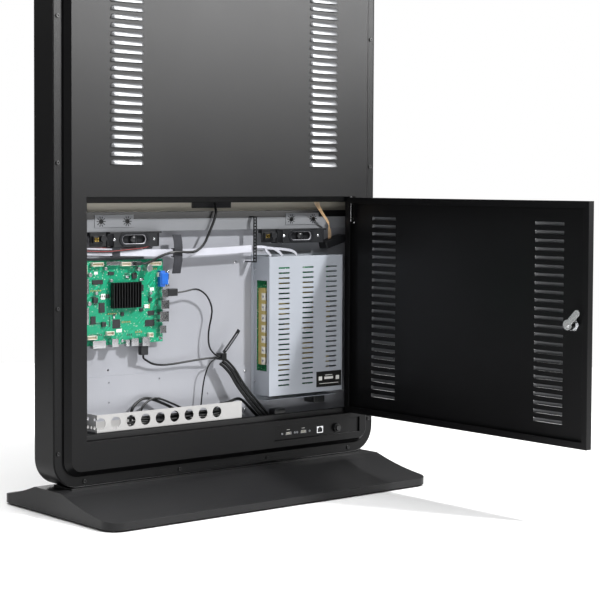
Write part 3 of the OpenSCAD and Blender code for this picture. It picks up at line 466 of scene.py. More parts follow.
# Blue polyester body of the video socket.
VIDEO_BLUE = Finish("moulded_pbt_blue", "#1f66c4", "#1a57ab", 0.38, 0.05, 0.6, 0.1, 8, ior=1.55)
# Epoxy of the integrated circuits: matt charcoal.
CHIP_EPOXY = Finish("moulded_epoxy", "#16171a", "#1e1f22", 0.5, 0.06, 0.4, 0.12, 6, ior=1.58)
# Sleeves of the electrolytic capacitors.
CAPACITOR_CAN = Finish(
    "drawn_aluminium_can", "#c4c5c6", "#a7a8aa", 0.3, 0.06, 0.4, 0.08, 6, Grain.BRUSHED, 0.9
)
# Yellow polyester tape and cores of the transformers.
TRANSFORMER_TAPE = Finish(
    "polyester_tape_yellow", "#c9b46a", "#94854f", 0.4, 0.1, 1.2, 0.2, 12, Grain.WOVEN, ior=1.55
)
# Solder mask on the main board, a lively green.
MAIN_MASK = SolderMask("solder_mask_green", "#0b8862", "#087655", 0.3, 0.05, 0.6, 0.1, 20, ior=1.52)
# Darker mask on the small boards.
DARK_MASK = SolderMask(
    "solder_mask_dark", "#14603c", "#0f5233", 0.35, 0.05, 0.6, 0.1, 20, ior=1.52, track="#2c8a5b"
)
# PVC jacket of the cables, faintly ribbed from the extruder.
PVC_BLACK = Finish("pvc_jacket_black", "#0c0d0e", "#131415", 0.38, 0.06, 1.5, 0.1, 16, ior=1.53, glint=0.3)
# Red insulation of the loudspeaker wires.
PVC_RED = Finish("pvc_insulation_red", "#8e1c1e", "#6f1518", 0.38, 0.05, 1.0, 0.08, 12, ior=1.53)
# Pale insulation of the thin leads.
PVC_TAN = Finish("pvc_insulation_tan", "#d9b992", "#c9a67c", 0.4, 0.05, 1.0, 0.08, 12, ior=1.53)
# Braided polyester sleeve, white with a lilac cast; the braid is drawn at 2 mm so that it shows.
BRAID_WHITE = Finish("polyester_braid_white", "#c9cad2", "#b4b5bf", 0.55, 0.08, 2.0, 0.5, 30, Grain.WOVEN)
# Woven hook tape, charcoal with a dry nap.
HOOK_TAPE = Finish("woven_hook_tape", "#24252a", "#35363c", 0.8, 0.08, 1.4, 0.6, 10, Grain.WOVEN)
# EPDM foam and rubber pads: dead matt.
RUBBER = Finish("epdm_rubber", "#0f0f10", "#161617", 0.75, 0.08, 1.6, 0.4, 18, ior=1.52)
# Paper cone and rubber surround of the loudspeakers.
CONE_PAPER = Finish("speaker_cone_paper", "#1b1c1e", "#242528", 0.35, 0.08, 1.0, 0.3, 9)
# Grey die-cut frame round the cone.
SURROUND_GREY = Finish("speaker_surround_grey", "#a9a9ae", "#919197", 0.4, 0.06, 0.8, 0.1, 8, metallic=0.2)
# Pressed basket of the loudspeakers.
CONE_FRAME = Finish("speaker_frame_grey", "#2b2c2f", "#222326", 0.35, 0.06, 0.8, 0.1, 12, metallic=0.3)
# Printed polyester label, black.
LABEL_BLACK = Finish(
    "polyester_label_black", "#131313", "#1a1a1a", 0.3, 0.04, 20, 0.02, 30, Grain.POLISHED, ior=1.55
)
# White ink on labels and panels.
INK_WHITE = Finish("screen_print_white", "#e6e6e2", "#d6d6d2", 0.5, 0.05, 0.8, 0.05, 10)


class Bench:
    """Modelling moves that the sub-assemblies share. Everything ends with its place in its mesh."""

    @staticmethod
    def clear() -> None:
        """Leaves edit mode and deselects everything."""
        if bpy.context.mode != "OBJECT":
            bpy.ops.object.mode_set(mode="OBJECT")
        bpy.ops.object.select_all(action="DESELECT")

    @staticmethod
    def take(piece: Thing) -> None:
        """Makes one object the only one selected, and active."""
        Bench.clear()
        piece.select_set(True)
        bpy.context.view_layer.objects.active = piece

    @staticmethod
    @contextmanager
    def editing(piece: Thing, kind: str = "", select: str = "SELECT") -> Iterator[None]:
        """Opens an object in edit mode for a while.

        Args:
            piece: The object.
            kind: What is picked, VERT, EDGE or FACE, or nothing to leave that as it is.
            select: SELECT or DESELECT for all of it, or nothing to leave the selection as it is.

        Yields:
            Nothing.
        """
        Bench.take(piece)
        bpy.ops.object.mode_set(mode="EDIT")
        if kind:
            bpy.ops.mesh.select_mode(type=kind)
        if select:
            bpy.ops.mesh.select_all(action=select)
        yield
        bpy.ops.object.mode_set(mode="OBJECT")

    @staticmethod
    def unpick(piece: Thing, kind: str) -> None:
        """Deselects all of a mesh and sets what is picked next: VERT, EDGE or FACE."""
        with Bench.editing(piece, kind, "DESELECT"):
            pass

    @staticmethod
    def modify(piece: Thing, kind: str, **settings: Any) -> None:
        """Adds a modifier to an object and applies it.

        Args:
            piece: The object.
            kind: Blender's type name of the modifier.
            settings: Properties of the modifier.
        """
        Bench.take(piece)
        change = piece.modifiers.new(kind.lower(), kind)
        for name, value in settings.items():
            setattr(change, name, value)
        bpy.ops.object.modifier_apply(modifier=change.name)

    @staticmethod
    def settle(piece: Thing, name: str = "", smooth: float = 35.0) -> Thing:
        """Moves the object's place into its mesh and shades it smooth below an angle.

        Args:
            piece: The object.
            name: Its new name, if it gets one.
            smooth: The angle in degrees.

        Returns:
            The same object.
        """
        Bench.take(piece)
        bpy.ops.object.transform_apply(location=True, rotation=True, scale=True)
        bpy.ops.object.shade_smooth_by_angle(angle=math.radians(smooth))
        if name:
            piece.name = name
            piece.data.name = name
        return piece

    @staticmethod
    def bevel_sharp(piece: Thing, width: float, segments: int = 2, angle: float = 40.0) -> None:
        """Bevels every edge sharper than an angle, in edit mode.

        Args:
            piece: The object.
            width: Width of the bevel in millimetres.
            segments: Steps across the bevel.
            angle: The angle in degrees.
        """
        with Bench.editing(piece, "EDGE", "DESELECT"):
            bpy.ops.mesh.edges_select_sharp(sharpness=math.radians(angle))
            bpy.ops.mesh.bevel(offset=width * MM, segments=segments, affect="EDGES", clamp_overlap=True)

    @staticmethod
    def block(name: str, low: Point, high: Point, soften: float = 0.4, segments: int = 2) -> Thing:
        """A block with softened edges.

        Args:
            name: Name of the object.
            low: Its lowest corner in millimetres.
            high: Its highest corner in millimetres.
            soften: Width of the bevel in millimetres.
            segments: Steps across the bevel.

        Returns:
            The new object.
        """
        Bench.clear()
        centre = [(a + b) / 2 * MM for a, b in zip(low, high)]
        bpy.ops.mesh.primitive_cube_add(size=1, location=centre)
        piece = bpy.context.active_object
        piece.scale = [abs(b - a) * MM for a, b in zip(low, high)]
        bpy.ops.object.transform_apply(location=True, rotation=True, scale=True)
        if soften:
            Bench.bevel_sharp(piece, soften, segments)
        return Bench.settle(piece, name)

    @staticmethod
    def rod(
        name: str, centre: Point, radius: float, length: float, along: Point, soften: float, sides: int
    ) -> Thing:
        """A round or many-sided bar with softened rims.

        Args:
            name: Name of the object.
            centre: Its middle in millimetres.
            radius: Its radius in millimetres.
            length: Its length in millimetres.
            along: Direction of its axis.
            soften: Width of the bevel at its rims in millimetres.
            sides: Number of sides.

        Returns:
            The new object.
        """
        Bench.clear()
        bpy.ops.mesh.primitive_cylinder_add(
            vertices=sides,
            radius=radius * MM,
            depth=length * MM,
            location=[c * MM for c in centre],
            rotation=Vector(along).to_track_quat("Z", "Y").to_euler(),
        )
        piece = bpy.context.active_object
        Bench.bevel_sharp(piece, soften, 2, 50)
        return Bench.settle(piece, name, 40)

    @staticmethod
    def ring(name: str, centre: Point, radius: float, wire: float, steps: int, sides: int) -> Thing:
        """A ring whose axis runs along Y.

        Args:
            name: Name of the object.
            centre: Its middle in millimetres.
            radius: Its radius in millimetres.
            wire: Radius of its wire in millimetres.
            steps: Steps round the ring.
            sides: Sides of the wire.

        Returns:
            The new object.
        """
        Bench.clear()
        bpy.ops.mesh.primitive_torus_add(
            major_segments=steps,
            minor_segments=sides,
            major_radius=radius * MM,
            minor_radius=wire * MM,
            location=[c * MM for c in centre],
            rotation=(QUARTER_TURN, 0, 0),
        )
        return Bench.settle(bpy.context.active_object, name)

    @staticmethod
    def copy(piece: Thing, place: Matrix) -> Thing:
        """A copy with its own mesh, its place in that mesh.

        Args:
            piece: What is copied.
            place: Where it goes.

        Returns:
            The copy.
        """
        other = piece.copy()
        other.data = piece.data.copy()
        other.data.transform(place)
        bpy.context.scene.collection.objects.link(other)
        return other

    @staticmethod
    def spread(first: Thing, places: Iterable[Matrix]) -> list[Thing]:
        """Copies a piece to many places and takes the first one away.

        Args:
            first: The piece.
            places: Where the copies go.

        Returns:
            The copies.
        """
        copies = [Bench.copy(first, place) for place in places]
        bpy.data.objects.remove(first)
        return copies

    @staticmethod
    def join(pieces: Iterable[Thing], name: str) -> Thing:
        """Joins objects into the first of them.

        Args:
            pieces: The objects.
            name: Name of the result.

        Returns:
            The joined object.
        """
        Bench.clear()
        group = list(pieces)
        for piece in group:
            piece.select_set(True)
        bpy.context.view_layer.objects.active = group[0]
        if len(group) > 1:
            bpy.ops.object.join()
        group[0].name = name
        group[0].data.name = name
        return group[0]

    @staticmethod
    def paint(piece: Thing, finish: Finish) -> None:
        """Gives an object one finish all over."""
        piece.data.materials.clear()
        piece.data.materials.append(finish.make())


@dataclass
class SubAssembly:
    """What every sub-assembly of the kiosk can do with the CAD frame.

    Attributes:
        body: The CAD body that new pieces ride on.
    """

    frame: dict[str, Any]
    body: str = "cabinet"

    def report(self, piece: Thing) -> None:
        """Logs one finished piece."""
        LOG.info("%s: %d faces", piece.name, len(piece.data.polygons))

    def add(self, piece: Thing, finish: Finish, slot: str, body: str | None = None) -> Thing:
        """Dresses a new piece and makes it ride.

        Args:
            piece: The new object.
            finish: Its finish.
            slot: The record's material slot; not used.
            body: The body it rides on, if not the sub-assembly's own.

        Returns:
            The same object.
        """
        Bench.paint(piece, finish)
        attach(piece, body or self.body)
        self.report(piece)
        return piece

    def fit(self, pieces: Iterable[Thing], name: str, finish: Finish, slot: str) -> Thing:
        """Joins new objects into one piece, dresses it and makes it ride.

        Args:
            pieces: The new objects.
            name: Name of the piece.
            finish: Its finish.
            slot: The record's material slot; not used.

        Returns:
            The piece.
        """
        return self.add(Bench.join(pieces, name), finish, slot)

    def keep(self, node: str, finish: Finish) -> None:
        """Leaves a CAD node in view and gives it a finish."""
        Bench.paint(self.frame["nodes"][node], finish)

    def worked_copy(self, node: str, pierced: bool = False) -> Thing:
        """Copies a CAD node as a clean mesh to work on.

        Args:
            node: Name of the node.
            pierced: Whether its faces have holes, so that their triangles have to stay.

        Returns:
            The copy, with its triangles merged into flat faces.
        """
        source = self.frame["nodes"][node]
        piece = source.copy()
        piece.data = source.data.copy()
        for key in list(piece.keys()):
            del piece[key]
        piece.parent = None
        piece.name = f"{node}_finished"
        bpy.context.scene.collection.objects.link(piece)
        with Bench.editing(piece):
            bpy.ops.mesh.remove_doubles(threshold=SAME_POINT)
            if not pierced:
                bpy.ops.mesh.dissolve_limited(angle_limit=math.radians(0.4))
            bpy.ops.mesh.select_all(action="DESELECT")
        return piece

    def soften(
        self,
        node: str,
        finish: Finish,
        slot: str,
        width: float = 0.5,
        segments: int = 2,
        body: str | None = None,
        shape: Callable[[Thing], None] | None = None,
        pierced: bool = False,
    ) -> None:
        """Replaces a CAD node with a copy whose edges are broken as on the real piece.

        Args:
            node: Name of the node.
            finish: Its finish.
            slot: The record's material slot; not used.
            width: Width of the broken edge in millimetres, or 0 for smooth shading alone.
            segments: Steps across the broken edge.
            body: The body it rides on, if not the sub-assembly's own.
            shape: Further shaping before the edges are broken.
            pierced: Whether its faces have holes.
        """
        piece = self.worked_copy(node, pierced)
        if shape:
            shape(piece)
        if width:
            Bench.modify(
                piece,
                "BEVEL",
                width=width * MM,
                segments=segments,
                limit_method="ANGLE",
                angle_limit=math.radians(40),
                miter_outer="MITER_ARC",
            )
        Bench.settle(piece, smooth=38)
        Bench.modify(piece, "WEIGHTED_NORMAL", keep_sharp=True, weight=100)
        self.add(piece, finish, slot, body)
        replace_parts(piece, node)


@dataclass
class LouvrePress:
    """The tool that presses one louvre: a hood with tapered ends, open along its bottom.

    Attributes:
        length: Length over the ends.
        rise: Height of the hood.
        out: How far it stands out of the sheet.
        taper: Length of each tapered end.
        sheet: Thickness of the sheet.
        reach: How far the ball that it starts from reaches, next to its radius.
        proud: Points further out of the sheet than this belong to a hood.
    """

    length: float = 72.0
    rise: float = 9.2
    out: float = 5.0
    taper: float = 9.0
    sheet: float = 1.0
    reach: float = 0.975
    proud: float = 0.2

    def press(self) -> Thing:
        """Presses one louvre at the origin: X along it, Y outwards, Z up from its open edge.

        Returns:
            The hood.
        """
        Bench.clear()
        turn = (0, QUARTER_TURN, 0)
        bpy.ops.mesh.primitive_uv_sphere_add(segments=16, ring_count=7, radius=1, rotation=turn)
        hood = bpy.context.active_object
        bpy.ops.object.transform_apply(location=False, rotation=True, scale=True)
        for normal in ((0, 0, -1), (0, -1, 0)):
            with Bench.editing(hood):
                bpy.ops.mesh.bisect(plane_co=(0, 0, 0), plane_no=normal, clear_outer=True)
        stretch = self.length / 2 - self.taper
        for vertex in hood.data.vertices:
            side = math.copysign(1, vertex.co.x)
            vertex.co.x = (vertex.co.x * self.taper + side * stretch) * MM
            vertex.co.y *= self.out / self.reach * MM
            vertex.co.z *= self.rise / self.reach * MM
        with Bench.editing(hood):
            bpy.ops.mesh.remove_doubles(threshold=SAME_POINT)
            bpy.ops.mesh.normals_make_consistent(inside=False)
        Bench.modify(hood, "SOLIDIFY", thickness=self.sheet * MM, offset=-1)
        return Bench.settle(hood, "louvre", 50)

    def strip(self, panel: Thing, out: Callable[[Vector], float]) -> None:
        """Takes the plain hoods off a panel and closes the sheet where they stood.

        Args:
            panel: The panel.
            out: How far outside the sheet a point lies, in metres.
        """
        Bench.unpick(panel, "VERT")
        for vertex in panel.data.vertices:
            vertex.select = out(vertex.co) > self.proud * MM
        with Bench.editing(panel, select=""):
            bpy.ops.mesh.delete(type="VERT")
            bpy.ops.mesh.select_all(action="SELECT")
            bpy.ops.mesh.fill_holes(sides=0)
            bpy.ops.mesh.select_all(action="DESELECT")

    def rows(self, name: str, places: Iterable[Matrix]) -> Thing:
        """Presses a louvre and copies it to many places.

        Args:
            name: Name of the result.
            places: Where each goes.

        Returns:
            All of them as one object.
        """
        return Bench.join(Bench.spread(self.press(), places), name)


def at(x: float, y: float, z: float, turn: float = 0.0) -> Matrix:
    """A place in millimetres with a turn in degrees about Y."""
    return Matrix.Translation((x * MM, y * MM, z * MM)) @ Matrix.Rotation(math.radians(turn), 4, "Y")


@dataclass
class Upright(SubAssembly):
    """Front frame, glass and the pressed back cover with its louvres.

    Attributes:
        louvre_x: Distance of the louvre columns from the middle.
        low_z: Height of the lowest louvre of the lower columns.
        high_z: Height of the lowest louvre of the upper columns.
    """

    louvre_x: float = 233.0
    low_z: float = 631.0
    high_z: float = 1498.1

    def build(self) -> None:
        """Builds and dresses every piece of the upright."""
        press = LouvrePress()
        self.soften("front_frame", POWDER_BLACK, "powder_coat", 0.9, 3, pierced=True)
        self.soften("front_glass", TOUCH_GLASS, "glass_black", 0.8, 3)
        self.soften(
            "rear_cover",
            POWDER_BLACK,
            "powder_coat",
            0.7,
            shape=lambda panel: press.strip(panel, lambda co: co.y - BACK_Y * MM),
            pierced=True,
        )
        places = [
            at(side * self.louvre_x, BACK_Y - 0.2, start + row * LOUVRE_PITCH - LOUVRE_DROP)
            for start in (self.low_z, self.high_z)
            for side in (-1, 1)
            for row in range(LOUVRE_ROWS)
        ]
        # Hoods in light grey: a painted reflection on the black coat.
        self.add(press.rows("rear_louvres", places), HOOD_PAINTED_SHEEN, "powder_coat")
        self.soften("rear_cover_screws", POWDER_BLACK_DULL, "powder_coat", 0.4)
        self.keep("glass_gasket", RUBBER)
        self.keep("touch_film", TOUCH_GLASS)


@dataclass
class DisplayModule(SubAssembly):
    """The display panel and what holds it, seen through the slot over the compartment."""

    def build(self) -> None:
        """Dresses the display's pieces."""
        self.soften("screen_panel", DISPLAY_BACK, "display_metal", 0.8)
        self.keep("screen_bars", ZINC_BLUE)
        self.keep("side_rails", ZINC_BLUE)
        self.keep("touch_controller", ABS_BLACK)
        self.soften("screen_lower_bar", POWDER_BLACK_DULL, "powder_coat", 0.5)
        self.soften("screen_support_angle", ZINC_BLUE, "zinc_plate", 0.5)
        self.soften("rosette_brackets", ZINC_BLUE, "zinc_plate", 0.2, pierced=True)


@dataclass
class Compartment(SubAssembly):
    """Plates, loudspeakers and the cable channel of the service compartment.

    Attributes:
        plate_d: Depth of the equipment plate.
        lower_d: Depth of the lower plate.
        speaker_z: Height of the middle of the loudspeakers.
        speaker_d: Depth of the face of the housings.
        drivers: X of the two loudspeakers.
        rosettes: X of the four star-shaped openings.
        rosette_z: Their height.
        bracket_d: Depth of the face of the brackets.
        seam_z: Height where the lower plate ends.
        plate_screws: X and Z of the screws in the plates.
        filters: X of the two filter boards.
    """

    plate_d: float = 60.0
    lower_d: float = 58.5
    speaker_z: float = 490.0
    speaker_d: float = 33.0
    drivers: tuple[float, float] = (194.0, -205.0)
    rosettes: tuple[float, ...] = (202.0, 259.0, -246.0, -189.0)
    rosette_z: float = 523.0
    bracket_d: float = 44.8
    seam_z: float = 238.0
    plate_screws: tuple[Point, ...] = ((300, 232), (300, 150), (-84, 226), (-84, 150), (-60, 440))
    filters: tuple[float, float] = (250.0, -147.0)

    def build(self) -> None:
        """Builds and dresses the compartment."""
        self.soften("equipment_plate", GALVANISED, "zinc_plate", 0, pierced=True)
        self.soften("lower_plate", GALVANISED, "zinc_plate", 0, pierced=True)
        self.soften("cable_channel", CHANNEL_ZINC, "white_steel", 0.3, pierced=True)
        self.soften("speaker_housings", ABS_BLACK, "black_plastic", 0.8, pierced=True)
        self.soften("speaker_drivers", CONE_FRAME, "speaker_cone", 0.3, pierced=True)
        self.soften("speaker_filters", ABS_BLACK, "black_plastic", 0.5)
        self.soften("mains_inlet", NYLON_BLACK, "black_plastic", 0.5)
        self.cones()
        self.screws()
        self.filter_parts()
        self.rosette_plugs()

    def rosette_plugs(self) -> None:
        """Black stars filling the star-shaped openings of the two brackets: painted shade of the holes."""
        pieces, y = [], depth(self.bracket_d)
        for x in self.rosettes:
            pieces.append(Bench.rod("hub", (x, y + 0.2, self.rosette_z), 4.6, 1.2, (0, 1, 0), 0.3, 24))
            arm = Bench.block("arm", (5.4, -1.0, -0.75), (9.6, 0.35, 0.75), 0.2)
            pieces += Bench.spread(arm, [at(x, y, self.rosette_z, 36 * spoke) for spoke in range(10)])
        self.fit(pieces, "rosette_plugs", NYLON_BLACK, "black_plastic")

    def cones(self) -> None:
        """Domed caps and rolled surrounds in the frames of the loudspeakers."""
        caps, rings = [], []
        for x in self.drivers:
            Bench.clear()
            bpy.ops.mesh.primitive_uv_sphere_add(
                segments=24,
                ring_count=10,
                radius=8.2 * MM,
                location=(x * MM, depth(self.speaker_d + 5.5) * MM, self.speaker_z * MM),
                rotation=(QUARTER_TURN, 0, 0),
            )
            cap = bpy.context.active_object
            cap.scale.z = 0.75
            caps.append(Bench.settle(cap, "dust_cap"))
            ring = Bench.ring("surround", (0, 0, 0), 8.8, 1.2, 32, 8)
            for vertex in ring.data.vertices:
                if abs(vertex.co.x) > 0.5 * MM:
                    vertex.co.x += math.copysign(17.5 * MM, vertex.co.x)
                vertex.co += Vector((x, depth(self.speaker_d + 2.4), self.speaker_z)) * MM
            rings.append(ring)
        self.fit(caps, "speaker_caps", CONE_PAPER, "speaker_cone")
        self.fit(rings, "speaker_surrounds", SURROUND_GREY, "speaker_cone")

    def screw(self) -> Thing:
        """A cross-recessed pan head at the origin, facing +Y.

        Returns:
            The screw head.
        """
        Bench.clear()
        turn = (-QUARTER_TURN, 0, 0)
        bpy.ops.mesh.primitive_uv_sphere_add(segments=14, ring_count=8, radius=3.2 * MM, rotation=turn)
        head = bpy.context.active_object
        bpy.ops.object.transform_apply(location=False, rotation=True, scale=True)
        with Bench.editing(head):
            bpy.ops.mesh.bisect(plane_co=(0, 0, 0), plane_no=(0, -1, 0), clear_outer=True, use_fill=True)
        head.scale.y = 0.55
        Bench.settle(head, "screw_head", 50)
        for across, up in ((1.9, 0.45), (0.45, 1.9)):
            bar = Bench.block("recess", (-across, 1.0, -up), (across, 3.0, up), 0)
            Bench.modify(head, "BOOLEAN", operation="DIFFERENCE", object=bar, solver="EXACT")
            bpy.data.objects.remove(bar)
        return Bench.settle(head, smooth=50)

    def screws(self) -> None:
        """Screw heads on the plates and the housings of the loudspeakers."""
        places = []
        for i, (x, z) in enumerate(self.plate_screws):
            sheet_d = self.plate_d if z > self.seam_z else self.lower_d
            places.append(at(x, depth(sheet_d) - 0.1, z, 20 * i))
        for x in self.drivers:
            places += [at(x + dx, depth(self.speaker_d + 0.1), self.speaker_z, 35) for dx in (-44, 44)]
        self.fit(Bench.spread(self.screw(), places), "plate_screw_heads", BRIGHT_PLATE, "bright_steel")

    def filter_parts(self) -> None:
        """Wound coils and gold-coloured terminals on the two filter boards."""
        coils, tabs = [], []
        for x in self.filters:
            for turn in range(6):
                middle = (x + 10, depth(self.plate_d - 19.5 - turn * 1.3), 492)
                coils.append(Bench.ring("turn", middle, 5.6, 0.75, 20, 6))
            for left in (x + 20.5, x + 23.9, x + 27.3):
                low, high = (left, depth(36.4) - 0.2, 487), (left + 2, depth(36.4) + 2.2, 494)
                tabs.append(Bench.block("tab", low, high, 0.3))
        self.fit(coils, "filter_windings", BRASS, "brass_nickel")
        self.fit(tabs, "filter_terminals", BRASS, "brass_nickel")


@dataclass
class MainBoard(SubAssembly):
    """The main circuit board and everything soldered to it.

    Places on the board are counted from its lower corner nearest the middle of the kiosk: u
    across it and v up it. A rectangle is u, v, width and height.

    Attributes:
        x: Edge of the board nearest the middle.
        z: Bottom of the board.
        w: Width of the board.
        h: Height of the board.
        face_d: Depth of its component side.
        near_edge: Clear strip along the left and the bottom edge.
        far_edge: Clear strip along the other two edges.
        part_pitch: Distance between small parts, end to end and side by side.
        keep_out: Rectangles where nothing small is soldered.
        sticker_spots: Rectangles of the white stickers.
        header_spots: Rectangles of the crimp headers, each with its height off the board.
        legged: Rectangles of the packages with gull-wing legs.
        inductor_spots: u, v and width of the square inductors.
        crystal_spots: Rectangles of the crystal cans.
    """

    x: float = 120.0
    z: float = 297.0
    w: float = 182.0
    h: float = 155.0
    face_d: float = 48.4
    near_edge: float = 6.0
    far_edge: float = 8.0
    part_pitch: tuple[float, float] = (4.2, 3.2)
    keep_out: tuple[Point, ...] = (
        (54, 64, 68, 54), (-4, 10, 27, 92), (34, -6, 150, 20), (0, 100, 16, 34), (50, 140, 86, 15),
        (164, 38, 16, 86), (18, 28, 24, 32), (126, 58, 18, 22), (130, 108, 28, 14), (28, 130, 40, 22),
    )
    sticker_spots: tuple[Point, ...] = (
        (30, 64, 12, 7), (128, 84, 9, 10), (20, 96, 9, 6), (144, 130, 8, 5), (92, 22, 12, 6),
    )
    header_spots: tuple[Point, ...] = (
        (8, 143, 26, 7, 8), (76, 144, 20, 7, 8), (136, 145, 24, 7, 8), (6, 122, 8, 8, 7),
        (150, 12, 20, 7, 8), (112, 18, 16, 7, 7), (26, 10, 10, 8, 8), (171, 132, 8, 16, 8),
    )
    legged: tuple[Point, ...] = (
        (20, 30, 20, 12), (20, 50, 14, 9), (130, 60, 12, 18), (96, 30, 16, 16), (134, 112, 22, 8),
    )
    inductor_spots: tuple[Point, ...] = (
        (146, 78, 10), (88, 52, 7), (120, 86, 7), (46, 58, 7), (26, 76, 7), (128, 34, 9),
    )
    crystal_spots: tuple[Point, ...] = ((44, 116, 10, 4), (108, 48, 4, 9), (76, 122, 9, 4))

    def point(self, u: float, v: float, height: float = 0.0) -> tuple[float, float, float]:
        """A point over the board in the kiosk's frame."""
        return self.x + u, depth(self.face_d) + height, self.z + v

    def box(self, name: str, spot: Point, tall: float, soften: float = 0.3, low: float = 0.0) -> Thing:
        """A block soldered on the board.

        Args:
            name: Name of the object.
            spot: Its rectangle on the board.
            tall: How far it stands off the board.
            soften: Width of its broken edges.
            low: How far above the board it starts.

        Returns:
            The block.
        """
        u, v, w, h = spot
        return Bench.block(name, self.point(u, v, low), self.point(u + w, v + h, tall), soften)

    def build(self) -> None:
        """Builds and dresses the board."""
        self.soften("main_board", MAIN_MASK, "circuit_green", 0, pierced=True)
        self.soften("board_standoffs", BRASS, "brass_nickel", 0.3)
        self.soften("board_screws", BRIGHT_PLATE, "bright_steel", 0.3)
        self.soften("heat_sink", BLACK_ANODISED, "heat_sink_black", 0.25)
        self.soften("board_chips", CHIP_EPOXY, "black_plastic", 0.25)
        self.soften("board_capacitors", CAPACITOR_CAN, "bright_steel", 0.9, 3)
        self.soften("board_sockets", BRIGHT_PLATE, "bright_steel", 0.35)
        self.soften("vga_socket", VIDEO_BLUE, "blue_plastic", 0.8)
        self.video_shell()
        self.small_parts()
        self.headers()
        self.legs()
        self.blocks_and_cans()

    def video_shell(self) -> None:
        """Plated shell and hexagonal nuts of the blue video socket, and the white stickers."""
        pieces = [self.box("video_shell", (-7.5, 108, 3, 20), 11, 1.6)]
        for v in (105.5, 130.5):
            middle = (self.x - 7.2, depth(self.face_d) + 6, self.z + v)
            pieces.append(Bench.rod("nut", middle, 2.6, 5, (1, 0, 0), 0.4, 6))
        self.fit(pieces, "video_socket_shell", BRIGHT_PLATE, "bright_steel")
        stickers = [self.box("sticker", spot, 0.25, 0.0) for spot in self.sticker_spots]
        self.fit(stickers, "board_stickers", INK_WHITE, "white_ribbon")

    def free(self, u: float, v: float) -> bool:
        """Whether a small part may be soldered at a point."""
        return (
            self.near_edge < u < self.w - self.far_edge
            and self.near_edge < v < self.h - self.far_edge
            and not any(a - 2 < u < a + w + 2 and b - 2 < v < b + h + 2 for a, b, w, h in self.keep_out)
        )

    def small_parts(self) -> None:
        """Chip resistors, chip capacitors and diodes, in loose rows."""
        maker = random.Random(11)
        seeds = {
            "resistors": self.box("seed_r", (0, 0, 3.2, 1.6), 0.7, 0.12),
            "ceramics": self.box("seed_c", (0, 0, 2.4, 1.6), 1.3, 0.15),
            "solder": self.box("seed_s", (-0.7, 0.1, 0.9, 1.4), 0.62, 0.1),
        }
        places: dict[str, list[Matrix]] = {kind: [] for kind in seeds}
        corner = at(*self.point(0, 0)).inverted()
        across, up = self.part_pitch
        for _ in range(30):
            u0, v0 = maker.uniform(8, self.w - 14), maker.uniform(8, self.h - 12)
            upright = maker.random() < 0.5
            kind = maker.choice(("resistors", "ceramics"))
            for i in range(maker.randint(3, 7)):
                u, v = (u0 + across * i, v0) if upright else (u0, v0 + up * i)
                if not self.free(u, v):
                    continue
                place = at(*self.point(u, v), 90 if upright else 0) @ corner
                places[kind].append(place)
                places["solder"] += [place @ Matrix.Translation((end * MM, 0, 0)) for end in (0.0, 3.3)]
        for kind, finish, slot in (
            ("resistors", CHIP_EPOXY, "black_plastic"),
            ("solder", BRIGHT_PLATE, "bright_steel"),
            ("ceramics", TRANSFORMER_TAPE, "component_mix"),
        ):
            self.fit(Bench.spread(seeds[kind], places[kind]), f"board_{kind}", finish, slot)

    def headers(self) -> None:
        """White crimp headers round the edge of the board, with their pins."""
        shells, pins = [], []
        for u, v, w, h, tall in self.header_spots:
            shell = self.box("shell", (u, v, w, h), tall, 0.5)
            Bench.unpick(shell, "FACE")
            max(shell.data.polygons, key=lambda p: p.normal.y * p.area).select = True
            with Bench.editing(shell, select=""):
                bpy.ops.mesh.inset(thickness=0.9 * MM)
                bpy.ops.transform.translate(value=(0, -5 * MM, 0))
            shells.append(Bench.settle(shell))
            count = max(2, int(max(w, h) / 3))
            for i in range(count):
                cu = u + (w * (i + 0.5) / count if w > h else w / 2)
                cv = v + (h / 2 if w > h else h * (i + 0.5) / count)
                pins.append(self.box("pin", (cu - 0.4, cv - 0.4, 0.8, 0.8), tall - 1.5, 0.1, 1.5))
        self.fit(shells, "board_headers", NYLON_WHITE, "white_ribbon")
        self.fit(pins, "board_header_pins", BRASS, "brass_nickel")

    def legs(self) -> None:
        """Gull-wing legs of the packages that have them."""
        places = [
            Matrix.Translation((side * MM, 0, (v + 0.7 + i * 1.35) * MM))
            for u, v, w, h in self.legged
            for i in range(int(h / 1.4))
            for side in (u - 1.1, u + w - 0.1)
        ]
        leg = self.box("leg", (0, 0, 1.2, 0.5), 0.5, 0.1)
        self.fit(Bench.spread(leg, places), "chip_legs", BRIGHT_PLATE, "bright_steel")

    def blocks_and_cans(self) -> None:
        """Moulded power inductors and crystal cans."""
        blocks = [self.box("inductor", (u, v, w, w), w * 0.45, 0.8) for u, v, w in self.inductor_spots]
        self.fit(blocks, "board_inductors", CHIP_EPOXY, "black_plastic")
        cans = [self.box("crystal", spot, 3.2, 1.0, 0.2) for spot in self.crystal_spots]
        self.fit(cans, "board_crystals", BRIGHT_PLATE, "bright_steel")


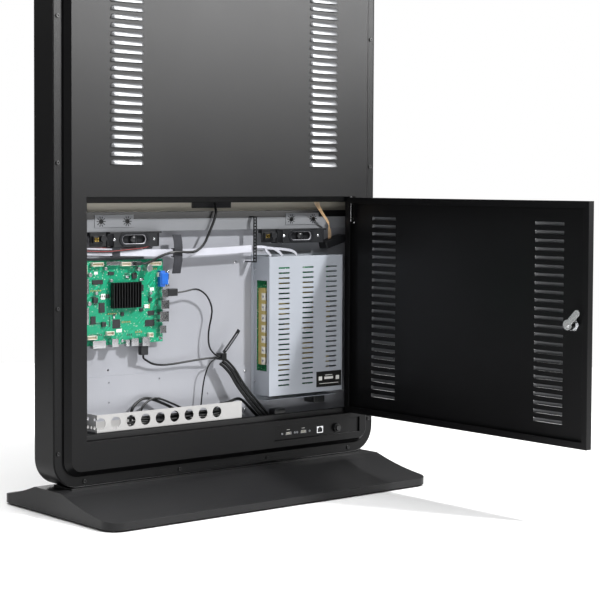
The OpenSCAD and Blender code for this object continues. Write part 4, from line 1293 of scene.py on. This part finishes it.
@dataclass
class PowerSupply(SubAssembly):
    """The power supply in its slotted cover.

    Attributes:
        x: Far side of the supply.
        w: Its width.
        z: Its bottom.
        cover_d: Depth of its cover.
        marks: Rectangles of the bars on its label: across, up, width and height.
    """

    x: float = -294.0
    w: float = 188.0
    z: float = 179.0
    cover_d: float = 10.0
    marks: tuple[Point, ...] = (
        (6, 13, 9, 8), (22, 15, 23, 5), (51, 13, 9, 8), (8, 6, 50, 1.2), (24, 22.5, 19, 1.2),
    )

    def build(self) -> None:
        """Builds and dresses the power supply."""
        self.soften("psu_cover", SUPPLY_SHEET, "white_steel", 0.3, pierced=True)
        self.soften("psu_tray", SUPPLY_SHEET, "white_steel", 0.4)
        self.keep("psu_board", DARK_MASK)
        self.soften("psu_parts", TRANSFORMER_TAPE, "component_mix", 1.0)
        self.soften("psu_screws", BRIGHT_PLATE, "bright_steel", 0.5)
        self.label()
        self.terminals()

    def label(self) -> None:
        """A plain black rating label with rows of white bars in place of any wording."""
        x0, z0, y = self.x + 1.5, self.z + 9, depth(self.cover_d)
        plate = Bench.block("rating_label", (x0, y, z0), (x0 + 66, y + 0.25, z0 + 31), 0.1, 1)
        self.add(plate, LABEL_BLACK, "black_plastic")
        bars = []
        for u, v, w, h in self.marks:
            low, high = (x0 + u, y + 0.25, z0 + v), (x0 + u + w, y + 0.32, z0 + v + h)
            bars.append(Bench.block("bar", low, high, 0))
        self.fit(bars, "rating_label_marks", INK_WHITE, "white_ribbon")

    def terminals(self) -> None:
        """White terminal blocks and their screws, seen through the cut-out in the side."""
        side = self.x + self.w - 3.4
        blocks, heads = [], []
        for i in range(7):
            z = self.z + 60 + i * 21
            low, high = (side - 9, depth(40), z), (side - 0.5, depth(28), z + 15)
            blocks.append(Bench.block("terminal", low, high, 0.8))
            middle = (side - 0.4, depth(34), z + 7.5)
            heads.append(Bench.rod("terminal_screw", middle, 2.6, 1.2, (1, 0, 0), 0.3, 14))
        self.fit(blocks, "supply_terminals", NYLON_WHITE, "component_mix")
        self.fit(heads, "supply_terminal_screws", BRIGHT_PLATE, "bright_steel")


@dataclass
class Wiring(SubAssembly):
    """Cables, sleeve, ties, straps and plugs, all held inside the compartment.

    Attributes:
        far_x: Wires past this X belong to the far loudspeaker.
        wraps: Both X and the middle height of each wrap of hook tape.
        wrap_d: Depths of the two sides of a wrap.
        half_wrap: Half the height of a wrap.
        tail: Bottom and top of the tail that hangs from the first wrap.
        tape: Thickness of the tape.
        strands: Number of strands in the cable channel.
    """

    far_x: float = -200.0
    wraps: tuple[Point, ...] = ((85.0, 105.0, 463.0), (224.0, 241.0, 466.5))
    wrap_d: tuple[float, float] = (35.2, 41.4)
    half_wrap: float = 8.4
    tail: tuple[float, float] = (424.0, 497.0)
    tape: float = 0.9
    strands: int = 11

    def build(self) -> None:
        """Dresses the cables and adds their small fittings."""
        self.soften("ribbon_sleeve", BRAID_WHITE, "white_ribbon", 1.2, 3)
        for node in ("touch_cable", "data_cables", "cable_bundle"):
            self.soften(node, PVC_BLACK, "cable_black", 0)
        self.wires()
        self.soften("cable_plugs", ABS_BLACK, "black_plastic", 1.4, 3)
        self.soften("cable_ties", NYLON_BLACK, "black_plastic", 0.2, pierced=True)
        self.hook_ties()
        self.tie_ribs()
        self.bundle_boot()
        self.channel_cables()

    def wires(self) -> None:
        """Loudspeaker wires, red on the near side and tan on the far side, and three loose ones."""
        with Bench.editing(self.worked_copy("speaker_wires", True)):
            bpy.ops.mesh.separate(type="LOOSE")
        strands = list(bpy.context.selected_objects)
        far = [s for s in strands if min(v.co.x for v in s.data.vertices) < self.far_x * MM]
        near = [s for s in strands if s not in far]
        for name, pieces, finish, slot in (
            ("near_speaker_wires", near, PVC_RED, "cable_red"),
            ("far_speaker_wires", far, PVC_TAN, "white_ribbon"),
        ):
            wires = self.add(Bench.settle(Bench.join(pieces, name), name, 60), finish, slot)
            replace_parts(wires, "speaker_wires")
        for i, finish in enumerate((PVC_BLACK, PVC_RED, PVC_BLACK)):
            route = (
                (300, 33 + i, 473 - 2 * i), (262, 32.5, 470 - 2 * i), (228, 33.4, 471 - i),
                (200, 33, 474 - 2 * i), (166, 33.5, 475 - i), (140, 38, 480),
            )
            self.add(self.run(f"loose_wire_{i}", route, 0.9), finish, "cable_black")

    def tie_ribs(self) -> None:
        """Teeth on the tail of the black tie round the bundle, pale grey as painted highlight on them."""
        tooth = Bench.block("tooth", (-3.3, -0.5, -0.5), (3.3, 0.5, 0.6), 0.15)
        along = [i / 10 for i in range(11)]
        places = [at(-15 - 24 * t, depth(27.6), 275.5 + 26.5 * t, 42) for t in along]
        self.fit(Bench.spread(tooth, places), "tie_teeth", SURROUND_GREY, "black_plastic")

    def bundle_boot(self) -> None:
        """Moulded boot where the mains leads go down through the floor of the compartment."""
        boot = Bench.block("bundle_boot", (-157, depth(40), 134), (-129, depth(20), 151), 3.0, 3)
        self.add(boot, NYLON_BLACK, "black_plastic")

    def hook_ties(self) -> None:
        """Hook tape wrapped round the sleeve, with a tail hanging from the first wrap."""
        pieces = []
        for x0, x1, middle in self.wraps:
            low, high = middle - self.half_wrap, middle + self.half_wrap
            for d in self.wrap_d:
                ends = (x0, depth(d + self.tape), low), (x1, depth(d), high)
                pieces.append(Bench.block("wrap", *ends, 0.3))
            for z in (low, high - self.tape):
                ends = (x0, depth(42.0), z), (x1, depth(35.4), z + self.tape)
                pieces.append(Bench.block("turn", *ends, 0.3))
        x0, x1, middle = self.wraps[0]
        ends = (x0 + 0.4, depth(35.0), self.tail[0]), (x1 - 0.4, depth(33.6), self.tail[1])
        tail = Bench.block("tail", *ends, 0.3)
        with Bench.editing(tail):
            bpy.ops.mesh.subdivide(number_cuts=5)
        for vertex in tail.data.vertices:
            off = abs(vertex.co.z / MM - middle) / 36
            vertex.co.y += (1.4 * math.sin(off * 4.2) - 3.0 * off * off) * MM
            vertex.co.x += 0.8 * off * math.sin(vertex.co.z / MM * 0.09) * MM
        pieces.append(Bench.settle(tail))
        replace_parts(self.fit(pieces, "hook_ties", HOOK_TAPE, "strap_grey"), "hook_straps")

    def run(self, name: str, points: Sequence[Point], radius: float) -> Thing:
        """A round cable along points, as a mesh.

        Args:
            name: Name of the object.
            points: Where it passes: X, depth and Z in millimetres.
            radius: Its radius in millimetres.

        Returns:
            The cable.
        """
        Bench.clear()
        line = bpy.data.curves.new(name, "CURVE")
        line.dimensions = "3D"
        line.bevel_depth = radius * MM
        line.bevel_resolution = 2
        line.resolution_u = 6
        line.use_fill_caps = True
        spline = line.splines.new("NURBS")
        spline.points.add(len(points) - 1)
        for knot, (x, d, z) in zip(spline.points, points):
            knot.co = (x * MM, depth(d) * MM, z * MM, 1)
        spline.order_u = 4
        spline.use_endpoint_u = True
        cable = bpy.data.objects.new(name, line)
        bpy.context.scene.collection.objects.link(cable)
        Bench.take(cable)
        bpy.ops.object.convert(target="MESH")
        return Bench.settle(bpy.context.active_object, name, 60)

    def channel_cables(self) -> None:
        """Slack folded into the cable channel, seen as dark strands through its holes."""
        maker = random.Random(5)
        strands = []
        for i in range(self.strands):
            d, z = 26.5 + 2.6 * (i % 4), 146.5 + 4.9 * (i // 4) * 1.35
            route = [
                (x, d + maker.uniform(-1.2, 2.2), z + maker.uniform(-2.0, 2.4))
                for x in range(-34 + 6 * (i % 3), 228 - 9 * (i % 4), 26)
            ]
            strands.append(self.run(f"strand_{i}", route, 2.3 if i % 3 else 1.7))
        self.fit(strands, "channel_cables", PVC_BLACK, "cable_black")


@dataclass
class SocketPanel(SubAssembly):
    """The recess under the door with its sockets and button.

    Attributes:
        z: Height of the row of sockets.
        floor_d: Depth of the floor of the recess.
        usb_x: X of the two double USB sockets.
    """

    z: float = 104.0
    floor_d: float = 4.0
    usb_x: tuple[float, float] = (-150.0, -188.0)

    def build(self) -> None:
        """Builds and dresses the sockets."""
        self.soften("usb_sockets", BRIGHT_PLATE, "bright_steel", 0.25)
        self.soften("lan_socket", BRIGHT_PLATE, "bright_steel", 0.3)
        self.soften("io_screws", ZINC_BLUE, "bright_steel", 0.3)
        self.keep("io_board", DARK_MASK)
        self.soften("power_button_bezel", NYLON_BLACK, "black_plastic", 0.8, 3)
        self.soften("power_button", NYLON_BLACK, "black_plastic", 1.0, 4, "power_button")
        floor, tongues, marks = depth(self.floor_d), [], []
        for x in self.usb_x:
            for z in (self.z - 2.0, self.z + 0.9):
                ends = (x - 5.2, depth(14), z), (x + 5.2, depth(3.3), z + 1.5)
                tongues.append(Bench.block("tongue", *ends, 0.3))
            ends = (x - 4, floor - 0.05, self.z + 6.4), (x + 4, floor + 0.06, self.z + 7.4)
            marks.append(Bench.block("mark", *ends, 0))
        self.fit(tongues, "usb_tongues", NYLON_WHITE, "white_ribbon")
        self.fit(marks, "socket_marks", INK_WHITE, "white_ribbon")
        # Painted shade: a black block filling the mouth of the network socket, in place of its dark hollow.
        ends = (-236.9, depth(16), self.z - 4.6), (-225.1, depth(7), self.z + 3)
        self.add(Bench.block("network_insert", *ends, 0.2), NYLON_BLACK, "black_plastic")


@dataclass
class Base(SubAssembly):
    """The low base with its hollow slopes."""

    def build(self) -> None:
        """Dresses the base."""
        # Lighter black coat: painted light on the base cover.
        self.soften("base_cover", POWDER_BLACK_BASE_PAINTED_LIGHT, "powder_coat", 1.6, 4)
        self.keep("base_plate", POWDER_BLACK_DULL)
        self.keep("base_spine", POWDER_BLACK_DULL)
        self.soften("base_feet", RUBBER, "rubber_black", 0.6)
        self.soften("base_bolts", BRIGHT_PLATE, "bright_steel", 0.6)
        self.keep("foot_rail", ZINC_BLUE)


@dataclass
class ServiceDoor(SubAssembly):
    """The hinged door: folded panel with pressed louvres, hinge pins and cam lock.

    Attributes:
        outside_x: X of the outside of the open door.
        middle_y: Y of the middle of the open door.
        middle_z: Height of the middle of the door.
        louvre_x: Distance of the louvre columns from its middle.
        spring_z: Height of the seat of the hinge spring; not used.
        collar_z: Height of the underside of the collar that it pushes up; not used.
    """

    body: str = "door"
    outside_x: float = -315.5
    middle_y: float = 328.0
    middle_z: float = 349.5
    louvre_x: float = 216.5
    spring_z: float = 524.5
    collar_z: float = 547.7

    def build(self) -> None:
        """Builds and dresses the door."""
        press = LouvrePress()
        self.soften(
            "door_panel",
            POWDER_BLACK,
            "powder_coat",
            0.7,
            shape=lambda panel: press.strip(panel, lambda co: self.outside_x * MM - co.x),
            pierced=True,
        )
        swing = Matrix.Rotation(QUARTER_TURN, 4, "Z")
        lowest = self.middle_z - (LOUVRE_ROWS - 1) / 2 * LOUVRE_PITCH - LOUVRE_DROP
        places = [
            at(self.outside_x + 0.2, self.middle_y + side, lowest + row * LOUVRE_PITCH) @ swing
            for side in (-self.louvre_x, self.louvre_x)
            for row in range(LOUVRE_ROWS)
        ]
        # Hoods in light grey: a painted reflection on the black coat.
        self.add(press.rows("door_louvres", places), HOOD_PAINTED_SHEEN, "powder_coat")
        self.keep("door_seal", RUBBER)
        self.soften("hinge_stud", BRIGHT_PLATE, "bright_steel", 0.3)
        self.soften("hinge_pin", BRIGHT_PLATE, "bright_steel", 0.2, body="hinge_pin")
        self.spring()
        self.soften("lock_body", BRIGHT_PLATE, "bright_steel", 0.5)
        self.soften("lock_cam", CAM_CASTING, "bright_steel", 0.9, 3, "lock")

    def spring(self) -> None:
        """Coil spring that the collar of the hinge pin comes down on, as a smooth plated copy of its CAD
        node.
        """
        coil = self.worked_copy("hinge_spring", True)
        Bench.settle(coil, coil.name, 50)
        Bench.paint(coil, BRIGHT_PLATE)
        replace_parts(coil, "hinge_spring")
        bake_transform(coil)
        self.report(coil)


@dataclass
class Studio:
    """Floor, soft lights and camera.

    Attributes:
        eye: Place of the camera in millimetres.
        azimuth: Direction of the camera round the kiosk, in degrees.
        elevation: Its direction above the horizon, in degrees.
        roll: Its roll, in degrees.
        lens_mm: Focal length of its lens behind a frame 36 mm wide.
        drop: How far the frame is shifted down, in widths of the frame.
        surround: Brightness of the room round the soft boxes.
        floor_radius: Radius of the paper floor in metres.
        lamps: Name, place, aim, width, height and power of each soft box. Places and aims are
            in millimetres, sizes in metres and powers in watts.
        sheen: Name of the soft box that only shines back from coated sheet.
    """

    eye: Point = (1954.9, 2568.1, 596.7)
    azimuth: float = 140.1
    elevation: float = 2.5
    roll: float = 0.27
    lens_mm: float = 101.676
    drop: float = 0.0735
    surround: float = 0.16
    floor_radius: float = 2.6
    lamps: tuple[tuple[str, Point, Point, float, float, float], ...] = (
        ("overhead", (300, 900, 4200), (0, 0, 500), 3.6, 3.6, 215.0),
        ("left_box", (3300, -2600, 2300), (0, 0, 500), 1.6, 1.6, 22.0),
        ("sheen_box", (-2550, 3400, 2050), (0, 0, 900), 2.4, 1.8, 400.0),
        ("front_box", (-900, -4000, 2400), (0, 0, 900), 2.2, 2.2, 110.0),
        ("key_box", (-1500, 3000, 3300), (0, 0, 350), 0.3, 0.3, 230.0),
        ("fill_box", (1900, 2500, 900), (0, 0, 330), 0.9, 0.9, 7.0),
    )
    sheen: str = "sheen_box"

    def build(self) -> None:
        """Sets up the whole studio."""
        self.floor()
        for lamp in self.lamps:
            self.lamp(*lamp)
        self.world()
        self.camera()

    def shine(self, coats: Iterable[Finish]) -> None:
        """Lets the sheen box light coated sheet only.

        Args:
            coats: The finishes of that sheet.
        """
        names = {coat.name for coat in coats}
        coated = bpy.data.collections.new("coated_sheet")
        for piece in bpy.data.objects:
            if piece.type == "MESH" and piece.active_material and piece.active_material.name in names:
                coated.objects.link(piece)
        bpy.data.objects[self.sheen].light_linking.receiver_collection = coated

    def floor(self) -> None:
        """A plain pale floor."""
        Bench.clear()
        bpy.ops.mesh.primitive_circle_add(
            vertices=96, radius=self.floor_radius, fill_type="NGON", location=(0, 0.2, -0.0005)
        )
        floor = bpy.context.active_object
        floor.name = "studio_floor"
        Bench.paint(floor, Finish("studio_paper", "#f4f4f4", "#f0f0f0", 0.8, 0.05, 4, 0.02, 900))

    def lamp(self, name: str, place: Point, aim: Point, w: float, h: float, power: float) -> None:
        """Adds one soft box.

        Args:
            name: Name of the light.
            place: Where it stands.
            aim: What it points at.
            w: Its width.
            h: Its height.
            power: Its power.
        """
        light = bpy.data.lights.new(name, "AREA")
        light.shape = "RECTANGLE"
        light.size, light.size_y, light.energy = w, h, power
        lamp = bpy.data.objects.new(name, light)
        lamp.location = [c * MM for c in place]
        lamp.rotation_euler = (Vector(aim) - Vector(place)).to_track_quat("-Z", "Y").to_euler()
        lamp.visible_diffuse = name != self.sheen
        bpy.context.scene.collection.objects.link(lamp)

    def world(self) -> None:
        """White surroundings that light the kiosk only dimly."""
        world = bpy.data.worlds.new("studio")
        bpy.context.scene.world = world
        world.use_nodes = True
        tree = world.node_tree
        tree.nodes.clear()
        seen = add_node(tree, "ShaderNodeLightPath").outputs["Is Camera Ray"]
        dim, paper = (
            add_node(tree, "ShaderNodeBackground", values={"Color": linear("#ffffff"), "Strength": strength})
            for strength in (self.surround, 1.0)
        )
        mix = add_node(tree, "ShaderNodeMixShader", feeds={0: seen, 1: dim.outputs[0], 2: paper.outputs[0]})
        add_node(tree, "ShaderNodeOutputWorld", feeds={"Surface": mix.outputs[0]})
        bpy.context.scene.view_settings.view_transform = "Standard"

    def camera(self) -> None:
        """Adds the camera and makes it the scene's own."""
        a, e, r = (math.radians(v) for v in (self.azimuth, self.elevation, self.roll))
        back = Vector((math.sin(a) * math.cos(e), -math.cos(a) * math.cos(e), math.sin(e)))
        right = (-back).cross(Vector((0, 0, 1))).normalized()
        up = right.cross(-back)
        tilted = right * math.cos(r) + up * math.sin(r)
        upper = up * math.cos(r) - right * math.sin(r)
        lens = bpy.data.cameras.new("camera")
        lens.sensor_width = 36.0
        lens.lens = self.lens_mm
        lens.shift_y = -self.drop
        lens.clip_end = 100
        camera = bpy.data.objects.new("camera", lens)
        turn = Matrix((tilted, upper, back)).transposed().to_4x4()
        camera.matrix_world = Matrix.Translation(Vector(self.eye) * MM) @ turn
        bpy.context.scene.collection.objects.link(camera)
        bpy.context.scene.camera = camera


def main() -> None:
    """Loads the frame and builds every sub-assembly."""
    logging.basicConfig(level=logging.INFO, format="%(name)s %(message)s")
    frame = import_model()
    studio = Studio()
    studio.build()
    parts = (
        Upright, DisplayModule, Compartment, MainBoard, PowerSupply, Wiring, SocketPanel, Base, ServiceDoor
    )
    for part in parts:
        LOG.info("building %s", part.__name__)
        part(frame).build()
    studio.shine((POWDER_BLACK, POWDER_BLACK_DULL, POWDER_BLACK_BASE_PAINTED_LIGHT, HOOD_PAINTED_SHEEN))


if __name__ == "__main__":
    main()
